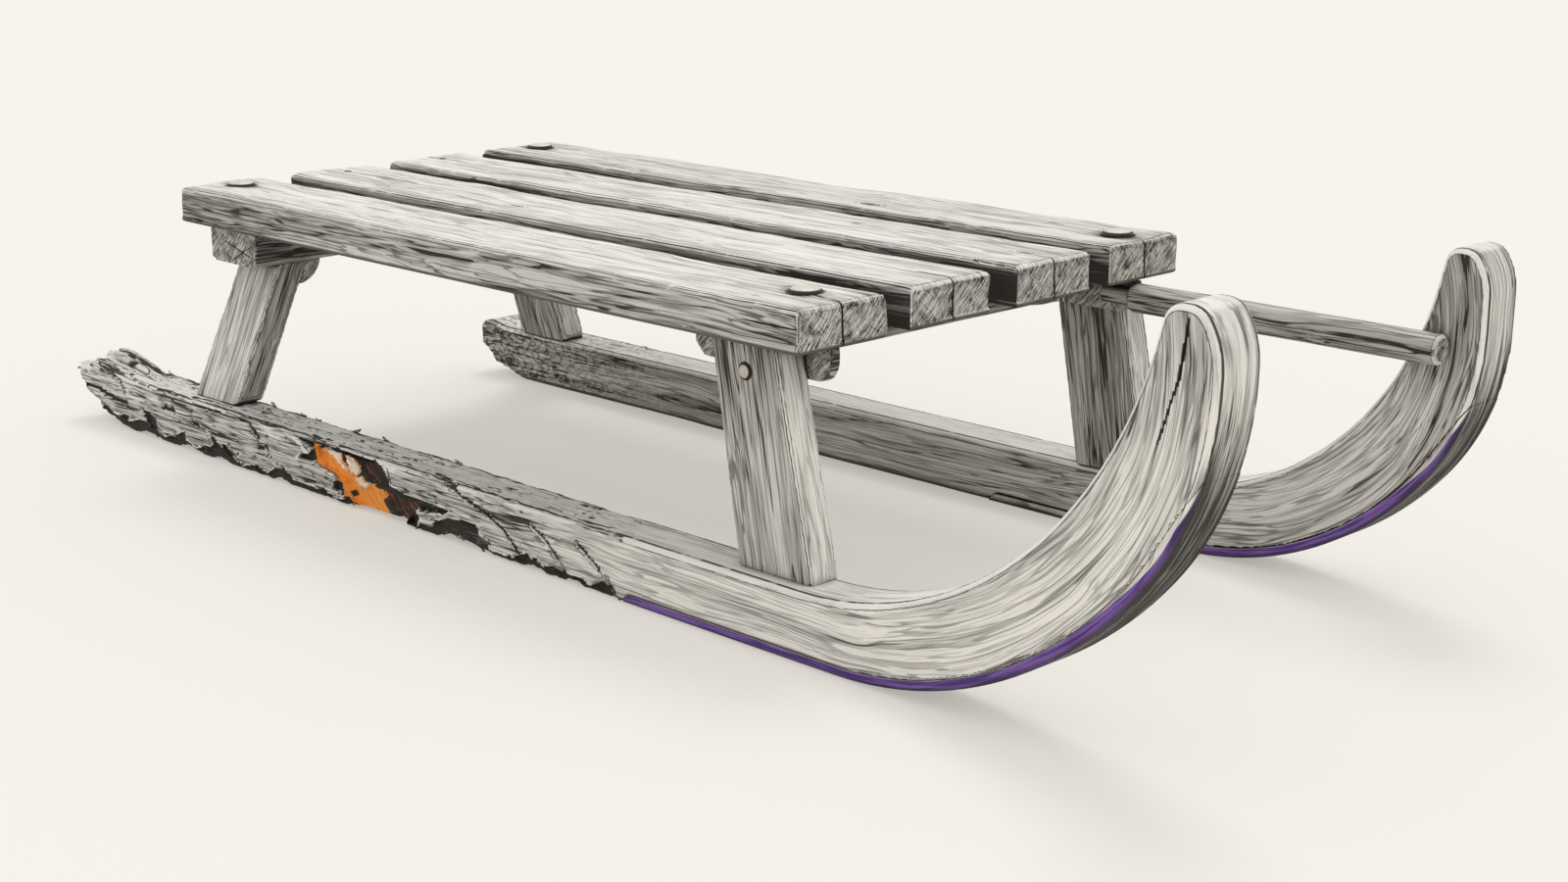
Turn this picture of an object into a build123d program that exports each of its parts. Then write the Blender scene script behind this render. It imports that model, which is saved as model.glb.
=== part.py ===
from build123d import *
import math
import os

# A low wooden sled: four deck slats on two bearers, four legs, two runners sawn from
# curved planks, and one stay rod. Millimetres. +X forward, +Y to the sled's left, +Z up,
# the origin on the ground at the middle of the sled's box.
# A station is a distance along the sled, forward from the rear end of the deck.

os.makedirs("parts", exist_ok=True)

# Deck slats
deck_length = 800.0
deck_height = 251.5
slat_count = 4
slat_width = 90.0
slat_thickness = 33.5
slat_gap = 26.6
slat_edge_round = 6.0
slat_under_round = 2.0
# Columns: how far the slat's rear end stops short, how far its front end does.
slat_end_wear = [(3.0, 0.0), (6.0, 2.5), (1.0, 1.0), (0.0, 3.0)]
# The drying check in each slat's front end, and how far across the slat each one is.
end_check_width = 2.0
end_check_depth = 26.0
end_check_shares = [0.52, 0.52, 0.5, 0.52]

# Runners
track_width = 452.0
runner_width = 46.0
runner_height = 52.5
runner_edge_bevel = 3.5
right_tail = 203.0
left_tail = 79.0
bend_setback = 38.0
right_horn_size = 1.0
# The left horn is the smaller of the pair.
left_horn_size = 0.83
toe_radius = 330.0
toe_turn = 50.0
horn_radius = 224.0
inner_lead = 35.0
right_tip_rise = 40.0
left_tip_rise = 60.0
right_tip_width = 40.3
left_tip_width = 36.7
# Each horn's tip is a tall rounded arch: a long shoulder ahead, a tight crown and a round
# behind, their radii as shares of the tip's width.
tip_shoulder_share = 1.36
tip_shoulder_turn = 35.0
tip_crown_share = 0.4
tip_back_share = 0.37
# The tails are sprung upwards a little, over this share of their length behind the legs.
tail_spring_height = 8.0
tail_spring_share = 0.6

# Sole strips let into the runners
sole_thickness = 8.0
right_sole_setback = 184.0
left_sole_setback = 166.0
sole_scarf = 10.0
feather_start_turn = 58.0
feather_end_turn = 73.0

# Legs
leg_thickness = 30.0
leg_ledge = 16.0
leg_edge_round = 2.0
front_leg_setback = 67.0
front_leg_rake = 33.0
front_leg_base_width = 74.0
front_leg_top_width = 66.0
rear_leg_base_station = 27.0
rear_leg_top_station = 43.0
rear_leg_base_width = 70.0
rear_leg_top_width = 66.0
rear_splay = 20.0

# Joinery
tenon_clearance = 0.3
tenon_end_clearance = 1.5
foot_tenon_length = 44.0
foot_tenon_thickness = 13.0
foot_tenon_depth = 26.0
head_tenon_length = 40.0
head_tenon_thickness = 13.0
head_tenon_depth = 20.0
bearer_tenon_length = 38.0
bearer_tenon_thickness = 12.0
bearer_tenon_depth = 14.0

# Bearers under the deck
rear_bearer_station = 44.0
rear_bearer_width = 76.0
rear_bearer_thickness = 38.0
rear_bearer_length = 384.0
rear_bearer_round = 7.0
front_bearer_setback = 78.0
front_bearer_width = 140.0
front_bearer_thickness = 28.0
front_bearer_round = 16.0
front_bay_depth = 77.0
front_bay_round = 24.0
front_shoulder_beyond_rod = 3.5

# Corner blocks between the rear bearer and the rear legs
block_length = 58.0
block_reach = 17.0
block_drop = 22.0

# Stay rod from the front bearer to the left horn
rod_diameter = 24.0
rod_drop = 2.0
rod_flat = 1.5
rod_horn_share = 0.55
rod_bevel = 3.0
rod_tenon_diameter = 15.0
rod_tenon_depth = 30.0
rod_tenon_clearance = 0.2
peg_diameter = 9.0
peg_in_rod = 14.0
peg_in_horn = 18.0
peg_setback = 22.0
peg_clearance = 0.15

# Places counted back or forward from the deck's front end
bend_station = deck_length + bend_setback
right_sole_station = deck_length - right_sole_setback
left_sole_station = deck_length - left_sole_setback
front_leg_top_station = deck_length - front_leg_setback
front_leg_base_station = front_leg_top_station + front_leg_rake
front_bearer_station = deck_length - front_bearer_setback


def bend_end(size):
    """The foremost point of a runner's outer edge, as a station and a height."""
    turn = math.radians(toe_turn)
    station = bend_station + size * (toe_radius * math.sin(turn) + horn_radius * (1 - math.sin(turn)))
    height = size * (toe_radius * (1 - math.cos(turn)) + horn_radius * math.cos(turn))
    return station, height


def inner_bend(size, tip_rise, tip_width):
    """The radius of a runner's upper edge, from where it starts to bend up to the tip."""
    reach, reach_height = bend_end(size)
    run = reach - tip_width - (bend_station - inner_lead)
    rise = reach_height + tip_rise - runner_height
    return (run**2 + rise**2) / (2 * rise)


right_reach, _ = bend_end(right_horn_size)
deck_underside = deck_height - slat_thickness
deck_width = slat_count * slat_width + (slat_count - 1) * slat_gap
middle_station = (right_reach - right_tail) / 2
runner_outer = track_width / 2
runner_inner = runner_outer - runner_width
leg_outer = runner_outer - leg_ledge
leg_middle = leg_outer - leg_thickness / 2
leg_inner = leg_outer - leg_thickness


def along(station):
    """The X of a station."""
    return station - middle_station


def side_plane(side):
    """The XZ plane on a runner's face nearest -Y, from which it extrudes towards +Y."""
    face = runner_inner if side > 0 else -runner_outer
    return Plane((0, face, 0), x_dir=(1, 0, 0), z_dir=(0, -1, 0))


def edge_point(size, turn, inset):
    """A point of a runner's lower edge after a turn in degrees, moved in by an inset."""
    angle = math.radians(turn)
    first = math.radians(min(turn, toe_turn))
    radius = size * toe_radius - inset
    station = bend_station + radius * math.sin(first)
    height = size * toe_radius - radius * math.cos(first)
    if turn > toe_turn:
        radius = size * horn_radius - inset
        station += radius * (math.sin(angle) - math.sin(first))
        height += radius * (math.cos(first) - math.cos(angle))
    return along(station), height


def make_blank(side, tail, size, tip_rise, tip_width):
    """A whole runner before its sole, mortises and decay are cut."""
    reach, reach_height = bend_end(size)
    tip_height = reach_height + tip_rise
    tip_station = reach - tip_width
    inner_station = bend_station - inner_lead
    rear_leg_end = rear_leg_base_station - rear_leg_base_width / 2
    spring_station = -tail + tail_spring_share * (tail + rear_leg_end)
    inner_size = inner_bend(size, tip_rise, tip_width)
    inner_centre_height = runner_height + inner_size
    middle = math.radians(45)
    shoulder = tip_shoulder_share * tip_width
    crown = tip_crown_share * tip_width
    shoulder_turn = math.radians(tip_shoulder_turn)
    shoulder_height = tip_height - crown - (shoulder - crown) * math.sin(shoulder_turn)
    crown_station = reach - shoulder + (shoulder - crown) * math.cos(shoulder_turn)

    def on_shoulder(turn):
        """A point of the tip's shoulder after a turn from the upright."""
        station = reach - shoulder * (1 - math.cos(turn))
        return along(station), shoulder_height + shoulder * math.sin(turn)

    def on_crown(turn):
        """A point of the tip's crown after a turn from the upright."""
        station = crown_station + crown * math.cos(turn)
        return along(station), tip_height - crown * (1 - math.sin(turn))

    with BuildPart() as blank:
        with BuildSketch(side_plane(side)) as outline:
            with BuildLine():
                Line((along(-tail), runner_height + tail_spring_height), (along(-tail), 0))
                Line((along(-tail), 0), edge_point(size, 0, 0))
                ThreePointArc(
                    edge_point(size, 0, 0),
                    edge_point(size, toe_turn / 2, 0),
                    edge_point(size, toe_turn, 0),
                )
                ThreePointArc(
                    edge_point(size, toe_turn, 0),
                    edge_point(size, (toe_turn + 90) / 2, 0),
                    edge_point(size, 90, 0),
                )
                Line((along(reach), reach_height), on_shoulder(0))
                ThreePointArc(on_shoulder(0), on_shoulder(shoulder_turn / 2), on_shoulder(shoulder_turn))
                ThreePointArc(
                    on_shoulder(shoulder_turn),
                    on_crown((shoulder_turn + math.pi / 2) / 2),
                    (along(crown_station), tip_height),
                )
                Line((along(crown_station), tip_height), (along(tip_station), tip_height))
                ThreePointArc(
                    (along(tip_station), tip_height),
                    (
                        along(inner_station + inner_size * math.sin(middle)),
                        inner_centre_height - inner_size * math.cos(middle),
                    ),
                    (along(inner_station), runner_height),
                )
                Polyline(
                    (along(inner_station), runner_height),
                    (along(spring_station), runner_height),
                    (along(-tail), runner_height + tail_spring_height),
                )
            make_face()
            inner_corner = outline.vertices().sort_by(Axis.Y)[-2:].sort_by(Axis.X)[0]
            fillet(inner_corner, radius=tip_back_share * tip_width)
        extrude(amount=-runner_width)
        rims = blank.faces().filter_by(Axis.Y).edges()
        chamfer(rims, length=runner_edge_bevel)
    return blank.part


def make_sole_prism(side, start_station, size):
    """The space of a sole strip, right through the runner's width."""
    first = feather_start_turn
    inset = sole_thickness
    with BuildPart() as prism:
        with BuildSketch(side_plane(side)):
            with BuildLine():
                Polyline(
                    (along(bend_station), 0),
                    (along(bend_station), -inset),
                    (along(start_station), -inset),
                    (along(start_station), 0),
                    (along(start_station + sole_scarf), inset),
                    (along(bend_station), inset),
                    close=True,
                )
            make_face()
            with BuildLine():
                Line((along(bend_station), -inset), (along(bend_station), inset))
                ThreePointArc(
                    edge_point(size, 0, inset),
                    edge_point(size, toe_turn / 2, inset),
                    edge_point(size, toe_turn, inset),
                )
                ThreePointArc(
                    edge_point(size, toe_turn, inset),
                    edge_point(size, (toe_turn + first) / 2, inset),
                    edge_point(size, first, inset),
                )
                Line(
                    edge_point(size, first, inset),
                    edge_point(size, feather_end_turn, 0),
                )
                Line(
                    edge_point(size, feather_end_turn, 0),
                    edge_point(size, feather_end_turn, -inset),
                )
                ThreePointArc(
                    edge_point(size, feather_end_turn, -inset),
                    edge_point(size, (toe_turn + feather_end_turn) / 2, -inset),
                    edge_point(size, toe_turn, -inset),
                )
                ThreePointArc(
                    edge_point(size, toe_turn, -inset),
                    edge_point(size, toe_turn / 2, -inset),
                    edge_point(size, 0, -inset),
                )
            make_face()
        extrude(amount=-runner_width)
    return prism.part


# Station and height of the decayed tail's outline, each runner by itself, from its top
# round the rear end and along the bitten lower edge.
right_decay = [
    (-178.0, 58.0),
    (-197.0, 56.0),
    (-203.0, 46.0),
    (-197.0, 34.0),
    (-182.0, 24.0),
    (-168.0, 20.0),
    (-157.0, 8.0),
    (-134.0, 6.0),
    (-114.0, 0.0),
    (-92.0, 0.0),
    (-84.0, 5.0),
    (-66.0, 4.0),
    (-52.0, 0.0),
    (-20.0, 0.0),
    (-8.0, 6.0),
    (6.0, 4.0),
    (22.0, 0.0),
    (42.0, 0.0),
    (52.0, 5.0),
    (64.0, 0.0),
    (140.0, 0.0),
    (150.0, 6.0),
    (166.0, 0.0),
    (256.0, 0.0),
    (270.0, 4.0),
    (330.0, 5.0),
    (344.0, 0.0),
    (384.0, 0.0),
    (400.0, 7.0),
    (432.0, 5.0),
    (456.0, 0.0),
    (498.0, 0.0),
    (508.0, 5.0),
    (522.0, 0.0),
    (548.0, 0.0),
    (556.0, 4.0),
    (568.0, 0.0),
]
left_decay = [
    (-52.0, 57.8),
    (-70.0, 56.0),
    (-79.0, 47.0),
    (-76.0, 30.0),
    (-60.0, 21.0),
    (-55.0, 13.0),
    (-30.0, 8.0),
    (-8.0, 0.0),
]

# What has broken out of the right runner's outer face. Columns: depth from the face, then the
# outline as stations and heights. First the skin lost along the lower edge, then the split
# grain at the fresh break, the fresh break itself, and the hollow ahead of it.
right_breaks = [
    (
        7.0,
        [
            (-210.0, -5.0),
            (-210.0, 34.0),
            (-196.0, 30.0),
            (-176.0, 23.0),
            (-135.0, 12.0),
            (-107.0, 9.0),
            (-78.0, 21.0),
            (-72.0, 10.0),
            (-31.0, 6.0),
            (-9.0, 20.0),
            (0.0, 10.0),
            (32.0, 6.0),
            (50.0, 20.0),
            (68.0, 9.0),
            (121.0, 5.0),
            (136.0, 5.0),
            (150.0, 19.0),
            (167.0, 8.0),
            (185.0, 10.0),
            (220.0, 7.0),
            (236.0, -5.0),
        ],
    ),
    (
        7.0,
        [
            (356.0, -5.0),
            (364.0, 17.0),
            (384.0, 10.0),
            (402.0, 28.0),
            (414.0, 21.0),
            (440.0, 20.0),
            (446.0, 14.0),
            (458.0, 5.0),
            (498.0, 5.0),
            (506.0, 16.0),
            (524.0, 7.0),
            (543.0, 5.0),
            (552.0, 14.0),
            (562.0, 5.0),
            (592.0, 5.0),
            (600.0, 13.0),
            (608.0, 2.0),
            (612.0, -5.0),
        ],
    ),
    (
        9.0,
        [
            (216.0, 31.0),
            (211.0, 44.0),
            (244.0, 47.0),
            (282.0, 45.0),
            (306.0, 48.0),
            (322.0, 30.0),
            (332.0, 22.0),
            (352.0, 16.0),
            (341.0, 2.0),
            (336.0, -5.0),
            (282.0, -5.0),
            (276.0, 5.0),
            (260.0, 17.0),
            (244.0, 27.0),
        ],
    ),
    (
        13.0,
        [
            (304.0, 47.0),
            (318.0, 48.5),
            (324.0, 32.0),
            (353.0, 32.0),
            (384.0, 30.0),
            (404.0, 26.0),
            (384.0, 21.0),
            (363.0, 14.0),
            (350.0, 12.0),
            (330.0, 21.0),
            (318.0, 31.0),
        ],
    ),
]

# The split that parts the right tail into two strands: its bottom's height, then its outline
# from above as stations and Y.
right_splits = [
    (44.0, [(-215.0, -190.0), (-150.0, -194.5), (-100.0, -199.5), (-150.0, -191.5), (-215.0, -182.0)]),
]

# Cracks across the right runner's outer face, the last one in the horn. Columns: width, depth,
# then the line.
right_cracks = [
    (3.0, 6.0, [(398.0, 54.0), (412.0, 49.0), (421.0, 43.0), (450.0, 36.0), (473.0, 28.0), (500.0, 6.0)]),
    (2.0, 5.0, [(509.0, 38.0), (530.0, 27.0), (543.0, 15.0), (550.0, 8.0)]),
    (2.0, 5.0, [(566.0, 35.0), (588.0, 22.0), (604.0, 8.0)]),
    (2.0, 5.0, [(117.0, 46.0), (166.0, 47.0), (194.0, 41.0), (203.0, 33.0)]),
    (1.4, 6.0, [(1121.0, 288.0), (1118.0, 268.0), (1115.0, 248.0), (1106.0, 219.0), (1097.0, 201.0)]),
]


def make_runner(name, side, blank, prism, decay, breaks, cracks, splits):
    """A runner with its sole's bed, its two mortises and its decay."""
    beyond = 20.0
    rear = min(station for station, height in decay) - beyond
    with BuildPart() as runner:
        add(blank)
        add(prism, mode=Mode.SUBTRACT)
        with BuildSketch(Plane.XY.offset(runner_height)):
            for station in (rear_leg_base_station, front_leg_base_station):
                with Locations((along(station), side * leg_middle)):
                    Rectangle(
                        foot_tenon_length + 2 * tenon_clearance,
                        foot_tenon_thickness + 2 * tenon_clearance,
                    )
        extrude(amount=-(foot_tenon_depth + tenon_end_clearance), mode=Mode.SUBTRACT)
        with BuildSketch(side_plane(side)):
            with BuildLine():
                Polyline(
                    *[(along(station), height) for station, height in decay],
                    (along(decay[-1][0]), -beyond),
                    (along(rear), -beyond),
                    (along(rear), runner_height + beyond),
                    (along(decay[0][0]), runner_height + beyond),
                    close=True,
                )
            make_face()
        extrude(amount=-runner_width, mode=Mode.SUBTRACT)
        for depth, outline in breaks:
            with BuildSketch(side_plane(side)):
                with BuildLine():
                    Polyline(*[(along(station), height) for station, height in outline], close=True)
                make_face()
            extrude(amount=-depth, mode=Mode.SUBTRACT)
        for width, depth, line in cracks:
            with BuildSketch(side_plane(side)):
                with BuildLine():
                    Polyline(*[(along(station), height) for station, height in line])
                trace(line_width=width)
            extrude(amount=-depth, mode=Mode.SUBTRACT)
        for bottom, outline in splits:
            with BuildSketch(Plane.XY.offset(bottom)):
                with BuildLine():
                    Polyline(*[(along(station), y) for station, y in outline], close=True)
                make_face()
            extrude(amount=runner_height, mode=Mode.SUBTRACT)
        if side > 0:
            with Locations(peg_place):
                Cylinder(
                    peg_diameter / 2 + peg_clearance,
                    2 * (peg_in_horn + tenon_end_clearance),
                    rotation=(90, 0, 0),
                    mode=Mode.SUBTRACT,
                )
    runner.part.label = name
    export_step(runner.part, f"parts/{name}.step")


def make_sole(name, blank, prism):
    """A sole strip, flush with the runner's faces and its running edge."""
    with BuildPart() as sole:
        add(blank)
        add(prism, mode=Mode.INTERSECT)
    sole.part.label = name
    export_step(sole.part, f"parts/{name}.step")


def horn_inner_station(height):
    """The station of the left horn's inner edge at a height."""
    radius = inner_bend(left_horn_size, left_tip_rise, left_tip_width)
    rise = runner_height + radius - height
    return bend_station - inner_lead + math.sqrt(radius**2 - rise**2)


def horn_outer_station(height):
    """The station of the left horn's outer edge at a height."""
    reach, reach_height = bend_end(left_horn_size)
    radius = horn_radius * left_horn_size
    return reach - radius + math.sqrt(radius**2 - (reach_height - height) ** 2)


# The rod lies against the left horn's inner face and ends part of the way across it.
rod_radius = rod_diameter / 2
rod_height = deck_underside - rod_drop - rod_radius
rod_middle = runner_inner - rod_radius + rod_flat
rod_rear_station = front_bearer_station + front_bearer_width / 2
rod_front_station = horn_inner_station(rod_height) + rod_horn_share * (
    horn_outer_station(rod_height) - horn_inner_station(rod_height)
)
peg_place = (along(rod_front_station - peg_setback), runner_inner, rod_height)

# Deck slats, numbered from the sled's right
for row, (rear_wear, front_wear) in enumerate(slat_end_wear[:slat_count]):
    length = deck_length - rear_wear - front_wear
    slat_middle_y = -deck_width / 2 + slat_width / 2 + row * (slat_width + slat_gap)
    with BuildPart() as slat:
        with BuildSketch(Plane.XY.offset(deck_underside)):
            with Locations((along(rear_wear + length / 2), slat_middle_y)):
                Rectangle(length, slat_width)
        extrude(amount=slat_thickness)
        fillet(slat.faces().sort_by(Axis.Z)[-1].edges(), radius=slat_edge_round)
        fillet(slat.faces().sort_by(Axis.Z)[0].edges(), radius=slat_under_round)
        front_end = deck_length - front_wear
        check_y = slat_middle_y + slat_width * (end_check_shares[row] - 0.5)
        with BuildSketch(Plane.XY.offset(deck_underside)):
            with BuildLine():
                Polyline(
                    (along(front_end), check_y - end_check_width / 2),
                    (along(front_end), check_y + end_check_width / 2),
                    (along(front_end - end_check_depth), check_y),
                    close=True,
                )
            make_face()
        extrude(amount=slat_thickness, mode=Mode.SUBTRACT)
    slat.part.label = f"slat_{row + 1}"
    export_step(slat.part, f"parts/slat_{row + 1}.step")

# Rear bearer, mortised from below for the heads of the rear legs
rear_bearer_bottom = deck_underside - rear_bearer_thickness
rear_leg_height = rear_bearer_bottom - runner_height
rear_lean = rear_leg_height * math.tan(math.radians(rear_splay))
rear_head_middle = leg_middle - rear_lean
with BuildPart() as rear_bearer:
    with BuildSketch(Plane.XY.offset(rear_bearer_bottom)):
        with Locations((along(rear_bearer_station), 0)):
            Rectangle(rear_bearer_width, rear_bearer_length)
    extrude(amount=rear_bearer_thickness)
    lower_edges = rear_bearer.faces().sort_by(Axis.Z)[0].edges().filter_by(Axis.Y)
    fillet(lower_edges, radius=rear_bearer_round)
    with BuildSketch(Plane.XY.offset(rear_bearer_bottom)):
        with Locations(
            (along(rear_leg_top_station), rear_head_middle),
            (along(rear_leg_top_station), -rear_head_middle),
        ):
            Rectangle(
                head_tenon_length + 2 * tenon_clearance,
                head_tenon_thickness + 2 * tenon_clearance,
            )
    extrude(amount=head_tenon_depth + tenon_end_clearance, mode=Mode.SUBTRACT)
rear_bearer.part.label = "rear_bearer"
export_step(rear_bearer.part, "parts/rear_bearer.step")

# Front bearer, stub-tenoned at each end into the leg that laps its end grain. Between the
# shoulders that carry the rod and the corner bolts, a bay is sawn out of its front edge.
front_bay_reach = rod_middle - rod_radius - front_shoulder_beyond_rod
front_bearer_bottom = deck_underside - front_bearer_thickness
front_bearer_middle = deck_underside - front_bearer_thickness / 2
front_leg_height = deck_underside - runner_height
front_rake_share = (front_bearer_middle - runner_height) / front_leg_height
front_leg_station_at_bearer = front_leg_base_station + front_rake_share * (
    front_leg_top_station - front_leg_base_station
)
with BuildPart() as front_bearer:
    with BuildSketch(Plane.XY.offset(front_bearer_bottom)):
        with Locations((along(front_bearer_station), 0)):
            Rectangle(front_bearer_width, 2 * leg_inner)
    extrude(amount=front_bearer_thickness)
    lower_edges = front_bearer.faces().sort_by(Axis.Z)[0].edges().filter_by(Axis.Y)
    fillet(lower_edges, radius=front_bearer_round)
    with Locations((along(front_leg_station_at_bearer), 0, front_bearer_middle)):
        Box(bearer_tenon_length, 2 * (leg_inner + bearer_tenon_depth), bearer_tenon_thickness)
    with BuildSketch(Plane.XY.offset(front_bearer_bottom)):
        with Locations((along(rod_rear_station), 0)):
            RectangleRounded(2 * front_bay_depth, 2 * front_bay_reach, radius=front_bay_round)
    extrude(amount=front_bearer_thickness, mode=Mode.SUBTRACT)
    with Locations((along(rod_rear_station - rod_tenon_depth / 2), rod_middle, rod_height)):
        Cylinder(
            rod_tenon_diameter / 2 + rod_tenon_clearance,
            rod_tenon_depth + tenon_end_clearance,
            rotation=(0, 90, 0),
            mode=Mode.SUBTRACT,
        )
front_bearer.part.label = "front_bearer"
export_step(front_bearer.part, "parts/front_bearer.step")

# Front legs: upright seen from ahead, raked forward towards the foot
for name, side in (("right_front_leg", -1), ("left_front_leg", 1)):
    with BuildPart() as leg:
        with BuildSketch(Plane.XZ.offset(-side * leg_middle)):
            with BuildLine():
                Polyline(
                    (along(front_leg_base_station - front_leg_base_width / 2), runner_height),
                    (along(front_leg_base_station + front_leg_base_width / 2), runner_height),
                    (along(front_leg_top_station + front_leg_top_width / 2), deck_underside),
                    (along(front_leg_top_station - front_leg_top_width / 2), deck_underside),
                    close=True,
                )
            make_face()
        extrude(amount=leg_thickness / 2, both=True)
        upright_edges = leg.edges().filter_by(lambda edge: abs(edge.tangent_at(0.5).Z) > 0.5)
        fillet(upright_edges, radius=leg_edge_round)
        with BuildSketch(Plane.XY.offset(runner_height)):
            with Locations((along(front_leg_base_station), side * leg_middle)):
                Rectangle(foot_tenon_length, foot_tenon_thickness)
        extrude(amount=-foot_tenon_depth)
        mortise_depth = bearer_tenon_depth + tenon_end_clearance
        with Locations(
            (
                along(front_leg_station_at_bearer),
                side * (leg_inner + mortise_depth / 2),
                front_bearer_middle,
            )
        ):
            Box(
                bearer_tenon_length + 2 * tenon_clearance,
                mortise_depth,
                bearer_tenon_thickness + 2 * tenon_clearance,
                mode=Mode.SUBTRACT,
            )
    leg.part.label = name
    export_step(leg.part, f"parts/{name}.step")

# Rear legs: splayed outwards towards the foot, tenoned at both ends
for name, side in (("right_rear_leg", -1), ("left_rear_leg", 1)):
    with BuildPart() as leg:
        with BuildSketch(Plane.XZ):
            with BuildLine():
                Polyline(
                    (along(rear_leg_base_station - rear_leg_base_width / 2), runner_height),
                    (along(rear_leg_base_station + rear_leg_base_width / 2), runner_height),
                    (along(rear_leg_top_station + rear_leg_top_width / 2), rear_bearer_bottom),
                    (along(rear_leg_top_station - rear_leg_top_width / 2), rear_bearer_bottom),
                    close=True,
                )
            make_face()
        extrude(amount=runner_outer, both=True)
        with BuildSketch(Plane.YZ.offset(along(rear_leg_base_station))):
            with BuildLine():
                Polyline(
                    (side * (leg_middle - leg_thickness / 2), runner_height),
                    (side * (leg_middle + leg_thickness / 2), runner_height),
                    (side * (rear_head_middle + leg_thickness / 2), rear_bearer_bottom),
                    (side * (rear_head_middle - leg_thickness / 2), rear_bearer_bottom),
                    close=True,
                )
            make_face()
        extrude(amount=rear_leg_base_width, both=True, mode=Mode.INTERSECT)
        upright_edges = leg.edges().filter_by(lambda edge: abs(edge.tangent_at(0.5).Z) > 0.5)
        fillet(upright_edges, radius=leg_edge_round)
        with BuildSketch(Plane.XY.offset(runner_height)):
            with Locations((along(rear_leg_base_station), side * leg_middle)):
                Rectangle(foot_tenon_length, foot_tenon_thickness)
        extrude(amount=-foot_tenon_depth)
        with BuildSketch(Plane.XY.offset(rear_bearer_bottom)):
            with Locations((along(rear_leg_top_station), side * rear_head_middle)):
                Rectangle(head_tenon_length, head_tenon_thickness)
        extrude(amount=head_tenon_depth)
    leg.part.label = name
    export_step(leg.part, f"parts/{name}.step")

# Corner blocks: quarter-round, glued under the rear bearer against the leg's inner face
block_lean = block_drop * math.tan(math.radians(rear_splay))
for name, side in (("right_corner_block", -1), ("left_corner_block", 1)):
    leg_face = rear_head_middle - leg_thickness / 2
    with BuildPart() as block:
        with BuildSketch(Plane.YZ.offset(along(rear_leg_top_station) - block_length / 2)):
            with BuildLine():
                Line(
                    (side * leg_face, rear_bearer_bottom),
                    (side * (leg_face - block_reach), rear_bearer_bottom),
                )
                ThreePointArc(
                    (side * (leg_face - block_reach), rear_bearer_bottom),
                    (side * (leg_face - 0.62 * block_reach), rear_bearer_bottom - 0.62 * block_drop),
                    (side * (leg_face + block_lean), rear_bearer_bottom - block_drop),
                )
                Line(
                    (side * (leg_face + block_lean), rear_bearer_bottom - block_drop),
                    (side * leg_face, rear_bearer_bottom),
                )
            make_face()
        extrude(amount=block_length)
    block.part.label = name
    export_step(block.part, f"parts/{name}.step")

# Runners and their soles
right_blank = make_blank(-1, right_tail, right_horn_size, right_tip_rise, right_tip_width)
right_prism = make_sole_prism(-1, right_sole_station, right_horn_size)
make_runner(
    "right_runner",
    -1,
    right_blank,
    right_prism,
    right_decay,
    right_breaks,
    right_cracks,
    right_splits,
)
make_sole("right_sole", right_blank, right_prism)
left_blank = make_blank(1, left_tail, left_horn_size, left_tip_rise, left_tip_width)
left_prism = make_sole_prism(1, left_sole_station, left_horn_size)
make_runner("left_runner", 1, left_blank, left_prism, left_decay, [], [], [])
make_sole("left_sole", left_blank, left_prism)

# Stay rod: round, sawn flat where it lies on the horn, with a tenon turned on its rear end
rod_length = rod_front_station - rod_rear_station
with BuildPart() as rod:
    with BuildSketch(Plane.YZ.offset(along(rod_rear_station))):
        with Locations((rod_middle, rod_height)):
            Circle(rod_radius)
    extrude(amount=rod_length)
    chamfer(rod.faces().sort_by(Axis.X)[-1].edges(), length=rod_bevel)
    flat_length = rod_front_station - horn_inner_station(rod_height) + rod_diameter
    with Locations(
        (along(rod_front_station - flat_length / 2), runner_inner + rod_radius / 2, rod_height)
    ):
        Box(flat_length, rod_radius, rod_diameter, mode=Mode.SUBTRACT)
    with BuildSketch(Plane.YZ.offset(along(rod_rear_station))):
        with Locations((rod_middle, rod_height)):
            Circle(rod_tenon_diameter / 2)
    extrude(amount=-rod_tenon_depth)
    with Locations(peg_place):
        Cylinder(
            peg_diameter / 2 + peg_clearance,
            2 * (peg_in_rod + tenon_end_clearance),
            rotation=(90, 0, 0),
            mode=Mode.SUBTRACT,
        )
rod.part.label = "left_stay_rod"
export_step(rod.part, "parts/left_stay_rod.step")

with BuildPart() as peg:
    with BuildSketch(Plane((0, runner_inner - peg_in_rod, 0), x_dir=(1, 0, 0), z_dir=(0, 1, 0))):
        with Locations((peg_place[0], -rod_height)):
            Circle(peg_diameter / 2)
    extrude(amount=peg_in_rod + peg_in_horn)
peg.part.label = "left_stay_peg"
export_step(peg.part, "parts/left_stay_peg.step")
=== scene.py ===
import math
import random

import bpy
from mathutils import Matrix, Vector, noise


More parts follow.
